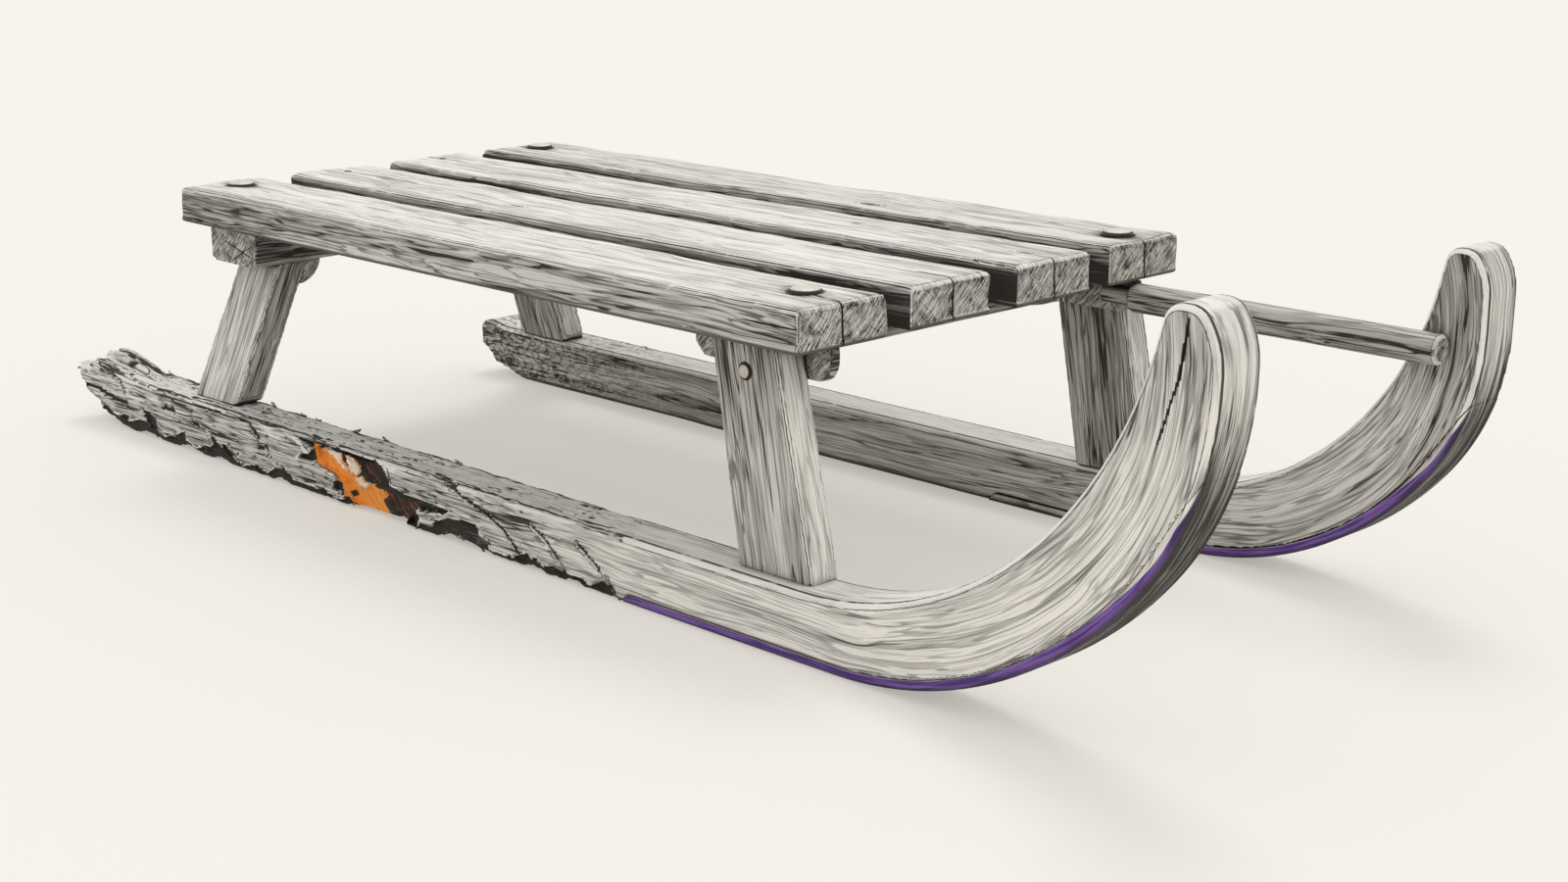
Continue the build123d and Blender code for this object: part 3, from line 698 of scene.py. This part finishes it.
def make_slat(number, material):
    """A slat with worn arrises and raised grain, a drying check in its front end, and cracks and
    chips in its top and sides. Its underside is hardly worn."""
    node_name = f"slat_{number + 1}"
    low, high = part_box(node_name)
    slat = blank_of(node_name, f"worn_slat_{number + 1}")
    apply(slat, "REMESH", mode="VOXEL", voxel_size=slat_voxel)
    free = weigh(slat, lambda place: 0.15 if place.z < low.z + 0.004 else 1.0)
    wear(slat, (0.11, 0.05, 0.05), 0.0036, keep=0.74, group=free)
    wear(slat, (0.5, 0.011, 0.011), 0.001, keep=0.6, group=free)
    check_y, check_run, turn = slat_checks[number]
    back, drift = check_run * 0.72, check_run * 0.72 * math.sin(turn) * 0.5
    cutters = [
        lens((high.x + 0.002, check_y, high.z - 0.016), (check_run * 0.62, 0.0012, 0.024)),
        lens((high.x - back, check_y - drift, high.z), (check_run * 0.42, 0.001, 0.004), (0, 0, turn)),
    ]
    for step in range(3):
        ahead = noise.noise(Vector((number * 3.1, step * 2.7, 0.5)))
        across = noise.noise(Vector((step * 1.9, number * 2.3, 4.0)))
        crack_x = low.x + 0.02 + 0.26 * step + 0.05 * ahead + 0.03
        crack_y = low.y + 0.02 + 0.05 * (0.5 + 0.5 * across)
        crack = lens((crack_x, crack_y, high.z - 0.0008), (0.045, 0.0007, 0.0035), (0, 0, 0.03))
        cutters.append(crack)
    for owner, station, chip_y, height, half, width, depth, turn in slat_chips:
        if owner == number:
            size = (half / 1000, width / 1000, depth / 1000)
            cutters.append(lens(in_frame(station, chip_y, height), size, (0.0, 0.0, turn)))
    cut(slat, cutters)
    done(slat, material, "weathered_wood", node_name)


# Bearers, legs, corner blocks, stay rod and left runner
# How finely each is remeshed, the period of its wear along X, Y and Z, and the wear's depth
bearer_wear = (0.003, (0.05, 0.2, 0.05), 0.0016)
leg_wear = (0.0025, (0.03, 0.03, 0.12), 0.0016)
block_wear = (0.0015, (0.03, 0.03, 0.03), 0.001)
rod_wear = (0.0015, (0.12, 0.02, 0.02), 0.0008)
left_runner_wear = (0.0025, (0.1, 0.04, 0.04), 0.0014)


def make_worn(node_name, material, voxel, period, strength, slot="weathered_wood", cutters=()):
    """A CAD piece with its arrises and faces a little worn, and its cracks or trims cut."""
    piece = blank_of(node_name, f"worn_{node_name}")
    apply(piece, "REMESH", mode="VOXEL", voxel_size=voxel)
    apply(piece, "SMOOTH", factor=0.5, iterations=2)
    wear(piece, period, strength, keep=0.66)
    cut(piece, cutters)
    keep_in_box(piece)
    done(piece, material, slot, node_name)


def shoulder_cut(side):
    """A cutter with rounded edges that trims the front bearer's shoulder back towards its leg."""
    bpy.ops.object.select_all(action="DESELECT")
    place = in_frame(757, side * 150, 200)
    bpy.ops.mesh.primitive_cube_add(size=1, location=place, scale=(0.082, 0.042, 0.06))
    block = bpy.context.object
    apply(block, "BEVEL", width=0.008, segments=4)
    return block


# The decayed right runner
# Places on its outer face are a station and a height in millimetres.
# Where the outer skin has gone: behind the fresh break, at the break, and ahead of it.
lost_skin = [
    [
        (-165, -5), (-160, 17), (-134, 12), (-108, 16), (-113, 9), (-90, 14), (-78, 15), (-85, 27),
        (-66, 25), (-57, 19), (-55, 9), (-43, 5), (-27, 11), (-5, 18), (-6, 11), (12, 4), (26, 10),
        (43, 13), (33, 27), (52, 18), (66, 19), (75, 14), (89, 15), (81, 10), (92, 4), (115, 9),
        (131, 5), (153, 15), (133, 24), (157, 15), (176, 7), (203, 7), (219, 9), (238, 4), (249, 4),
        (246, 12), (262, -5),
    ],
    [
        (184, 50), (262, 50), (302, 50), (312, 46), (316, 40), (323, 32), (348, 28), (402, 27),
        (399, 24), (378, 20), (355, 19), (362, 12), (352, -5), (262, -5), (246, 10), (235, 11),
        (240, 24), (208, 30), (181, 30), (199, 36), (207, 41), (196, 45),
    ],
    [
        (352, -5), (362, 7), (377, 8), (384, 14), (401, 20), (430, 23), (443, 21), (441, 16),
        (452, 12), (455, 5), (486, 5), (503, 13), (518, 11), (521, 6), (547, 12), (552, 8), (582, 5),
        (597, 13), (592, 20), (611, 7), (617, -5),
    ],
    [(392, 54), (420, 54), (415, 50), (420, 44), (432, 39), (407, 46)],
]
fresh_break = 1

# Cracks and pocks in the face, blackened with painted shade: how far each reaches to the side of its
# line, and the line
face_cracks = [
    (2.2, [(-197, 34), (-165, 33), (-135, 28), (-112, 28)]),
    (1.2, [(-143, 54), (-121, 48), (-114, 37)]),
    (2.0, [(-42, 36), (-24, 36)]),
    (1.6, [(8, 31), (19, 29)]),
    (2.0, [(122, 28), (135, 29)]),
    (0.9, [(-21, 47), (49, 48), (83, 47)]),
    (1.6, [(88, 49), (104, 48), (120, 37)]),
    (1.5, [(398, 54), (412, 49), (421, 43), (450, 36), (473, 28), (500, 6)]),
    (1.3, [(509, 38), (530, 27), (543, 15), (550, 8)]),
    (1.3, [(566, 35), (588, 22), (604, 8)]),
]
# Painted highlights along the rims of flakes: how far each reaches to the side of its line, and the
# line
rim_highlights = [
    (2.4, [(143, 50), (172, 50), (188, 44), (201, 35)]),
    (1.8, [(316, 46), (345, 49), (392, 49)]),
]

# The orange heart at the break, then its torn pale fibres and its hollows, dark with painted shade
heart_outline = [
    (212, 50), (220, 37), (234, 27), (253, 21), (256, 12), (277, 5), (286, -2), (341, -2), (322, 9),
    (312, 18), (325, 26), (297, 28), (277, 32), (262, 38), (245, 47),
]
heart_fibres = [
    [(232, 50), (258, 49), (255, 40), (270, 33), (261, 33), (246, 41), (238, 46)],
    [(262, 49), (274, 49), (285, 40), (281, 33), (267, 36)],
    [(274, 31), (288, 32), (296, 27), (283, 23)],
    [(320, 8), (342, -1), (326, 2)],
    [(275, 4), (284, 4), (299, 1), (285, -2)],
]
heart_hollows = [
    [(285, 50), (306, 50), (318, 44), (323, 32), (305, 29), (287, 38)],
    [(263, 18), (279, 18), (270, 9)],
    [(316, 25), (349, 27), (375, 23), (355, 18), (357, 8), (342, 5)],
]

# How far in from the outer face, in millimetres, the skin and the fresh break reach
skin = 0.6
break_depth = 14.5


def smooth(value, low, high):
    """A smooth step from 0 at low to 1 at high."""
    share = max(0.0, min(1.0, (value - low) / (high - low)))
    return share * share * (3 - 2 * share)


def off_line(station, height, first, last):
    """How far a place is from a straight line between two, in millimetres."""
    run, climb = last[0] - first[0], last[1] - first[1]
    along = (station - first[0]) * run + (height - first[1]) * climb
    share = min(max(along / (run * run + climb * climb), 0.0), 1.0)
    return math.hypot(station - first[0] - share * run, height - first[1] - share * climb)


def off_path(station, height, path):
    """How far a place is from a path of straight lines, in millimetres."""
    return min(off_line(station, height, *ends) for ends in zip(path, path[1:]))


def inside(station, height, outline):
    """Whether a place lies inside an outline."""
    odd = False
    for (run, climb), (next_run, next_climb) in zip(outline, outline[1:] + outline[:1]):
        if (climb > height) != (next_climb > height):
            odd ^= station < run + (next_run - run) * (height - climb) / (next_climb - climb)
    return odd


def heart_of(station, height):
    """How deep the break lies at a place, its tone, dark with painted shade in the hollows, and its
    share of the orange heart.
    """
    sway = noise.noise_vector(Vector((station / 7, height / 5, 21.0)))
    run, climb = station + 9.5 + 3.0 * sway.x, height + 3.2 + 2.0 * sway.y
    torn = noise.noise(Vector((station / 16, (height + station * 0.8) / 3, 4.0)))
    if any(inside(run, climb, outline) for outline in heart_fibres):
        return 3.6 + torn, 0.95, 1.0
    if any(inside(run, climb, outline) for outline in heart_hollows):
        return 9.0, 0.1 + 0.2 * max(0.0, torn), 0.35 + 0.5 * torn
    if inside(run, climb, heart_outline):
        return 6.0 + 1.2 * torn, 0.55 + 0.3 * torn, 1.0
    return 6.0, 0.04, 0.0


def face_of(station, height):
    """The outer face at a place: whether the skin has gone, how far it has sunk, its tone from 0
    for black to 1 for pale, and its share of the orange heart. The tone is painted shade where the
    skin has gone and in cracks, and a painted highlight along the broken edges, the flake rims and
    the top arris."""
    sway = noise.noise_vector(Vector((station / 8, height / 5, 3.0)))
    run, climb = station + 2.4 * sway.x, height + 1.4 * sway.y
    fine = noise.noise(Vector((station / 34, height / 3, 9.0)))
    edge = math.inf
    for number, outline in enumerate(lost_skin):
        if inside(run, climb, outline):
            if number == fresh_break:
                return True, *heart_of(station, height)
            return True, 3.6 + 1.0 * fine, 0.02 + 0.16 * max(0.0, fine), 0.0
        edge = min(edge, off_path(run, climb, outline))
    for half, path in face_cracks:
        off = off_path(station + sway.x, height + 0.8 * sway.y, path)
        if off < half:
            return True, 3.2, 0.03, 0.0
    tone = 0.52 + 0.42 * smooth(height + 3 * fine, 46.5, 49.5)
    for half, path in rim_highlights:
        tone = max(tone, 0.52 + 0.48 * smooth(off_path(run, climb, path), half + 0.5, half - 0.5))
    tone = max(tone, 0.5 + 0.42 * smooth(edge, 2.2, 1.2))
    return False, 0.9 + 0.8 * fine, tone, 0.0


def rot_of(place, normal):
    """How decay moves a point of the right runner, its tone with its painted shade and highlight, and
    its share of the heart.
    """
    station, height = (place.x + middle_station) * 1000, place.z * 1000
    share = 1.0 - smooth(station, rot_end * 1000 - 20, rot_end * 1000 + 8)
    if share <= 0:
        return Vector((0, 0, 0)), 0.5, 0.0
    tail = 1.0 - smooth(station, -160, 20)
    sunk = (place.y + runner_outer) * 1000
    above = max(0.0, normal.z) if height > 40 else 0.0
    under = max(0.0, -normal.z) if height < 3 or station < -140 else 0.0
    torn = noise.noise(Vector((place.x * 45, place.y * 90, place.z * 150)))
    fine = noise.noise(Vector((place.x * 110, place.y * 300, place.z * 420)))
    move, tone, heart = Vector((0, 0, 0)), 0.5 - 0.42 * smooth(-normal.x, 0.1, 0.7) * tail, 0.0

    # The outer face flakes where its skin has gone. The other faces crumble.
    broken = skin < sunk < break_depth and above < 0.5 and under < 0.5 and normal.x > -0.8
    if normal.y < -0.55 and sunk < break_depth or broken:
        gone, depth, tone, heart = face_of(station, height)
        if gone and skin < sunk < depth:
            depth = sunk
        move.y = (depth - sunk) * (share if sunk < skin else 1.0)
        tone = 0.5 + (tone - 0.5) * share
    else:
        move -= normal * (0.9 * torn + 0.7 * fine + 0.6) * share

    # The top splits along its grain, with painted shade in the splits, and the rear end and underside
    # are torn.
    ridge = abs(noise.noise(Vector((place.x * 9, place.y * 130, 2.2)))) * 2
    split = (1.0 - smooth(ridge, 0.0, 0.35)) * (0.35 + 0.65 * tail) * above * share
    strand = noise.noise(Vector((5.0, place.y * 190, place.z * 230)))
    ragged = noise.noise(Vector((place.x * 95, place.y * 60, 7.0)))
    move.x += max(0.0, -normal.x) * (0.5 + 0.5 * strand) * 11.0 * tail
    move.z += under * (1.6 + 1.6 * ragged) * share - split * 3.2

    # The inner strand of the tail is sprung up.
    inner = smooth(place.y, -0.2, -0.193)
    move.z += 7.0 * smooth(-station, 100, 165) * inner * smooth(height, 18, 42)
    return move / 1000, min(tone, 0.5 - 0.4 * split) if split else tone, heart


# Lens cutters for the crack in the right horn, in millimetres and degrees: the station and height
# of each, its half length and half width, and its climb
horn_crack = [(1118.5, 274, 21, 0.75, 82), (1110, 239, 25, 0.35, 73)]
rot_voxel = 0.00185


def make_right_runner(material):
    """The right runner: sound at the horn, flaked, split and hollowed towards the rear."""
    runner = blank_of("right_runner", "rotten_right_runner")
    apply(runner, "REMESH", mode="VOXEL", voxel_size=rot_voxel)
    apply(runner, "SMOOTH", factor=0.5, iterations=2)
    # The tone holds the rot's painted shade and highlight.
    light_and_tones = runner.data.attributes.new("rot_painted_light_and_tone", "FLOAT", "POINT")
    hearts = runner.data.attributes.new("heart", "FLOAT", "POINT")
    moves = [rot_of(vertex.co, vertex.normal) for vertex in runner.data.vertices]
    for vertex, (move, tone, heart) in zip(runner.data.vertices, moves):
        vertex.co += move
        light_and_tones.data[vertex.index].value = tone
        hearts.data[vertex.index].value = heart
    runner.data.update()
    cracks = [
        slanted(station, -226.5, height, half, width, 4.5, climb)
        for station, height, half, width, climb in horn_crack
    ]
    cut(runner, cracks)
    keep_in_box(runner)
    done(runner, material, "runner_wood", "right_runner", angle=50)


# Torn chips
chip_seed = 11


def make_chip():
    """One thin chip of split wood, broad at its root and pointed at its tip along X."""
    bpy.ops.object.select_all(action="DESELECT")
    bpy.ops.mesh.primitive_grid_add(x_subdivisions=6, y_subdivisions=3, size=1)
    chip = bpy.context.object
    apply(chip, "SIMPLE_DEFORM", deform_method="TAPER", deform_axis="X", factor=-1.2)
    apply(chip, "SOLIDIFY", thickness=0.16, offset=-1.0)
    return chip


def chip_places(dice):
    """Each chip's root in millimetres, its direction, its outward side, and its size."""
    out = Vector((0, -1, 0))
    places = []

    # Along the lower edge of the lost skin
    for outline in (lost_skin[0], lost_skin[2]):
        for station, height in outline:
            if 8 < height < 26 and dice.random() < 0.4:
                slope = math.radians(dice.uniform(10, 40))
                tip = Vector((math.cos(slope), -dice.uniform(0.0, 0.08), -math.sin(slope)))
                ahead, above = dice.uniform(-8, 2), dice.uniform(1.5, 4.0)
                root = Vector((station + ahead, -224.6, height + above))
                size = Vector((dice.uniform(9, 14), dice.uniform(4, 7), dice.uniform(7, 9)))
                places.append((root, tip, out, size))

    # Standing up from the top's inner arris
    for station in (-160, -101, 86, 131, 158, 214, 262, 371):
        root = Vector((station + dice.uniform(-6, 6), -182.6, 50.4))
        tip = Vector((dice.choice((-1, 1)), dice.uniform(0.0, 0.12), dice.uniform(0.3, 0.55)))
        places.append((root, tip, Vector((0, 1, 0)), Vector((dice.uniform(7, 11), 2.6, 8))))

    # Pointing back from the torn rear end
    for _ in range(9):
        root = Vector((-183 + dice.uniform(-4, 6), dice.uniform(-222, -186), dice.uniform(26, 50)))
        tip = Vector((-1.0, dice.uniform(-0.1, 0.1), dice.uniform(-0.25, 0.2)))
        side = Vector((0, dice.uniform(-0.6, 0.6), 1))
        places.append((root, tip, side, Vector((dice.uniform(16, 26), dice.uniform(4, 7), 12))))

    # Hanging from the lower edge
    for station in (-71, 17, 101, 405, 434, 533):
        ahead, across, above = dice.uniform(-6, 6), dice.uniform(-223, -220), dice.uniform(5, 9)
        root = Vector((station + ahead, across, above))
        slope = math.radians(dice.uniform(20, 50))
        tip = Vector((math.cos(slope), 0.0, -math.sin(slope)))
        places.append((root, tip, out, Vector((dice.uniform(7, 10), dice.uniform(3, 5), 7))))

    # Lying on the left runner's top
    for station in (55, 101, 138):
        root = Vector((station, 221.5, 51.6))
        tip = Vector((1.0, -0.1, dice.uniform(0.02, 0.1)))
        places.append((root, tip, Vector((0, 0, 1)), Vector((dice.uniform(14, 22), 6, 22))))
    return places


def make_chips(name, material):
    """The chips on the right runner's rot and on the left runner's top."""
    first = make_chip()
    chips = []
    for root, tip, side, size in chip_places(random.Random(chip_seed)):
        tip = tip.normalized()
        width = side.cross(tip).normalized()
        outward = tip.cross(width)
        middle = (root + tip * size.x * 0.42) / 1000
        middle.x -= middle_station
        turn = Matrix((tip, width, outward)).transposed().to_4x4()
        chip = first.copy()
        chip.data = first.data.copy()
        bpy.context.collection.objects.link(chip)
        scale = Matrix.Diagonal((*(size / 1000), 1))
        chip.matrix_world = Matrix.Translation(middle) @ turn @ scale
        chips.append(chip)
    bpy.data.objects.remove(first)
    bpy.ops.object.select_all(action="DESELECT")
    for chip in chips:
        chip.select_set(True)
    bpy.context.view_layer.objects.active = chips[0]
    bpy.ops.object.transform_apply(location=True, rotation=True, scale=True)
    bpy.ops.object.join()
    joined = bpy.context.object
    joined.name = name
    for vertex in joined.data.vertices:
        vertex.co += noise.noise_vector(vertex.co * 130) * 0.0022
    keep_in_box(joined)
    done(joined, material, "runner_wood")


# Bolt and nail heads
head_rings = 5


def make_head(name, station, y, z, radius, rise, material, sideways=0):
    """A domed head, a disc drawn up in rings, on the deck's top, or on a leg's right side where
    sideways is 1 and its left side where it is -1."""
    bpy.ops.object.select_all(action="DESELECT")
    bpy.ops.mesh.primitive_circle_add(vertices=36, radius=radius, fill_type="NGON")
    head = bpy.context.object
    head.name = name
    bpy.ops.object.mode_set(mode="EDIT")
    bpy.ops.mesh.select_all(action="SELECT")
    skirt = rise * 0.3
    bpy.ops.mesh.extrude_region_move(TRANSFORM_OT_translate={"value": (0, 0, skirt)})
    turns = [math.radians(90 * ring / (head_rings + 1)) for ring in range(head_rings + 1)]
    for lower, upper in zip(turns, turns[1:]):
        bpy.ops.mesh.inset(thickness=radius * (math.cos(lower) - math.cos(upper)))
        climb = math.sin(upper) - math.sin(lower)
        bpy.ops.transform.translate(value=(0, 0, (rise - skirt) * climb))
    bpy.ops.mesh.select_all(action="SELECT")
    bpy.ops.mesh.normals_make_consistent(inside=False)
    bpy.ops.object.mode_set(mode="OBJECT")
    head.rotation_euler = (math.radians(90) * sideways, 0, 0)
    head.location = (station - middle_station, y, z)
    bpy.ops.object.transform_apply(location=True, rotation=True, scale=True)
    done(head, material, "dark_iron")


# Camera, light and floor
# The drawing's viewpoint: the camera's place, its lens in millimetres, and its angles in degrees,
# downwards and round to the left from +Y
camera_place = (1.4055, -1.3074, 0.5666)
camera_lens = 52.96
camera_dip, camera_turn = 14.89, 45.06
sun_strength, sky_strength = 0.78, 0.78
floor_glow = 0.42


def set_camera():
    """A camera at the drawing's viewpoint."""
    camera_data = bpy.data.cameras.new("camera")
    camera_data.lens = camera_lens
    camera_data.sensor_width = 36.0
    camera = bpy.data.objects.new("camera", camera_data)
    camera.location = camera_place
    camera.rotation_euler = (math.radians(90 - camera_dip), 0, math.radians(camera_turn))
    bpy.context.collection.objects.link(camera)
    bpy.context.scene.camera = camera


def set_sun():
    """A wide soft sun from high on the left and behind."""
    sun_data = bpy.data.lights.new("sun", "SUN")
    sun_data.energy = sun_strength
    sun_data.angle = math.radians(24)
    sun = bpy.data.objects.new("sun", sun_data)
    sun.rotation_euler = (math.radians(-24), math.radians(-16), 0)
    bpy.context.collection.objects.link(sun)


def seen_straight(f):
    """1 for what is seen, straight or in a gloss, and 0 for what only gives light."""
    rays = [f.node("ShaderNodeLightPath", out=ray) for ray in ("Is Camera Ray", "Is Glossy Ray")]
    return rays[0].at_least(rays[1])


def set_sky():
    """An even studio sky, which the camera sees as paper."""
    world = bpy.data.worlds.new("studio")
    world.use_nodes = True
    f = Finish("sky", world)
    light = {"Color": (1.0, 1.0, 1.0, 1.0), "Strength": sky_strength}
    dome = f.node("ShaderNodeBackground", sockets=light)
    behind = f.node("ShaderNodeBackground", sockets={"Color": paper, "Strength": 1.0})
    seen = f.node("ShaderNodeMixShader", sockets={0: seen_straight(f), 1: dome, 2: behind})
    f.node("ShaderNodeOutputWorld", sockets={"Surface": seen})
    bpy.context.scene.world = world


def set_floor():
    """A plain paper-white floor, lit a little by itself where it is seen."""
    bpy.ops.mesh.primitive_plane_add(size=24)
    floor = bpy.context.object
    floor.name = "floor"
    f = Finish("paper_floor")
    lit = f.node("ShaderNodeBsdfDiffuse", sockets={"Color": paper})
    glow = f.node("ShaderNodeEmission", sockets={"Color": paper, "Strength": 1.0})
    share = seen_straight(f) * floor_glow
    surface = f.node("ShaderNodeMixShader", sockets={0: share, 1: lit, 2: glow})
    f.node("ShaderNodeOutputMaterial", sockets={"Surface": surface})
    floor.data.materials.append(f.material)


set_camera()
set_sun()
set_sky()
set_floor()
bpy.context.scene.view_settings.view_transform = "Standard"

# Finishes
# The directions in which the faces of each pair of legs lie, as its ahead, left and up
right_leg_axes = ((0.995, 0, 0.1), (0, 0.941, -0.339), (0.094, 0.337, 0.937))
left_leg_axes = ((0.995, 0, 0.1), (0, 0.941, 0.339), (0.094, -0.337, 0.937))
front_leg_axes = ((0.986, 0, 0.168), (0, 1, 0), (-0.168, 0, 0.986))
front_leg_rake = 0.17
rear_leg_rake, rear_leg_splay = -0.1, 0.36

# Each finish has its own seed for the grain, and a sole has its runner's, so the grain runs on.
right_grain, left_grain = 13.0, 15.0
right_shade = bent(-0.3, 0.0, 0.2, right_horn_size, -1)
left_shade = bent(-0.3, 0.0, 0.17, left_horn_size, 1)
slat_shade = squared(-0.12, 0.28, 0.3, 0.32)
front_grain = along_leg(front_leg_rake)
right_rear_grain = along_leg(rear_leg_rake, -rear_leg_splay)
left_rear_grain = along_leg(rear_leg_rake, rear_leg_splay)

slat_finish = wood("slat_wood", along_x, 1.0, slat_shade, ends=(1, 0, 0), marks=slat_marks)
bearer_finish = wood("bearer_wood", along_y, 5.0, squared(0.3, 0.3, 0.3, 0.6), ends=(0, 1, 0))
block_finish = wood("block_wood", along_x, 7.0, squared(0.3, 0.4, 0.4, 0.5), ends=(1, 0, 0))
rod_finish = wood("rod_wood", along_x, 11.0, rounded(0.26, 0.5, (1, 0, 0)), ends=(1, 0, 0))
leg_finishes = {}
for leg, along, seed, shade, marks in (
    ("right_front_leg", front_grain, 9.0, squared(0.3, 0.27, 0.36, -0.16, front_leg_axes), leg_marks),
    ("left_front_leg", front_grain, 8.0, squared(0.3, 0.36, 0.22, 0.0, front_leg_axes), leg_marks),
    ("right_rear_leg", right_rear_grain, 10.0, squared(0.3, 0.06, 0.36, 0.28, right_leg_axes), leg_deck_shade),
    ("left_rear_leg", left_rear_grain, 12.0, squared(0.3, 0.4, 0.08, 0.05, left_leg_axes), leg_deck_shade),
):
    leg_finishes[leg] = wood(f"{leg}_wood", along, seed, shade, marks=marks)
along = along_bend(right_horn_size)
right_runner_finish = wood(
    "right_runner_wood", along, right_grain, right_shade, marks=rot_marks_and_shade, paint=heart_paint
)
along = along_bend(left_horn_size)
left_runner_finish = wood("left_runner_wood", along, left_grain, left_shade, marks=far_marks)
chip_finish = wood("chip_wood", along_x, 16.0, squared(0.12, 0.3, 0.3, 0.35))
right_sole_finish = make_sole_finish(
    "right_sole_purple", right_horn_size, right_stain_start, right_shade, right_grain
)
left_sole_finish = make_sole_finish(
    "left_sole_purple", left_horn_size, left_stain_start, left_shade, left_grain
)
bolt_iron = make_iron("bolt_iron", bolt_crown, iron_black)
nail_iron = make_iron("nail_iron", slat_nail_crown, slat_nail_black)
leg_nail_iron = make_iron("leg_nail_iron", leg_nail_crown, iron_black, top=(0, 1, 0))

# Pieces
for number in range(len(slat_boxes)):
    make_slat(number, slat_finish)
bearer_checks = [slanted(56, -193, 194, 28, 0.7, 4, -14.5), slanted(55, -193, 190, 25, 0.6, 4, 28)]
make_worn("rear_bearer", bearer_finish, *bearer_wear, cutters=bearer_checks)
make_worn("front_bearer", bearer_finish, *bearer_wear, cutters=[shoulder_cut(-1), shoulder_cut(1)])
for leg, finish in leg_finishes.items():
    make_worn(leg, finish, *leg_wear)
for block in ("right_corner_block", "left_corner_block"):
    make_worn(block, block_finish, *block_wear)
make_worn("left_stay_rod", rod_finish, *rod_wear)
make_worn("left_runner", left_runner_finish, *left_runner_wear, slot="runner_wood")
make_right_runner(right_runner_finish)
make_chips("rot_chips", chip_finish)

head_seat = deck_top - deck_head_sink
for (station, y), corner in zip(bolts, ("rear_right", "front_right", "rear_left", "front_left")):
    make_head(f"bolt_head_{corner}", station, y, head_seat, bolt_radius, bolt_rise, bolt_iron)
for (station, y), slat in zip(slat_nails, ("slat_2", "slat_3")):
    make_head(f"nail_head_{slat}", station, y, head_seat, slat_nail_radius, slat_nail_rise, nail_iron)
for name, side in (("right_leg_nail", 1), ("left_leg_nail", -1)):
    station, height = leg_nail
    y = -side * (leg_outer - leg_head_sink)
    make_head(name, station, y, height, leg_nail_radius, leg_nail_rise, leg_nail_iron, side)

for node_name, material in (
    ("right_sole", right_sole_finish),
    ("left_sole", left_sole_finish),
    ("left_stay_peg", rod_finish),
):
    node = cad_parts[node_name]
    node.data.materials.clear()
    node.data.materials.append(material)
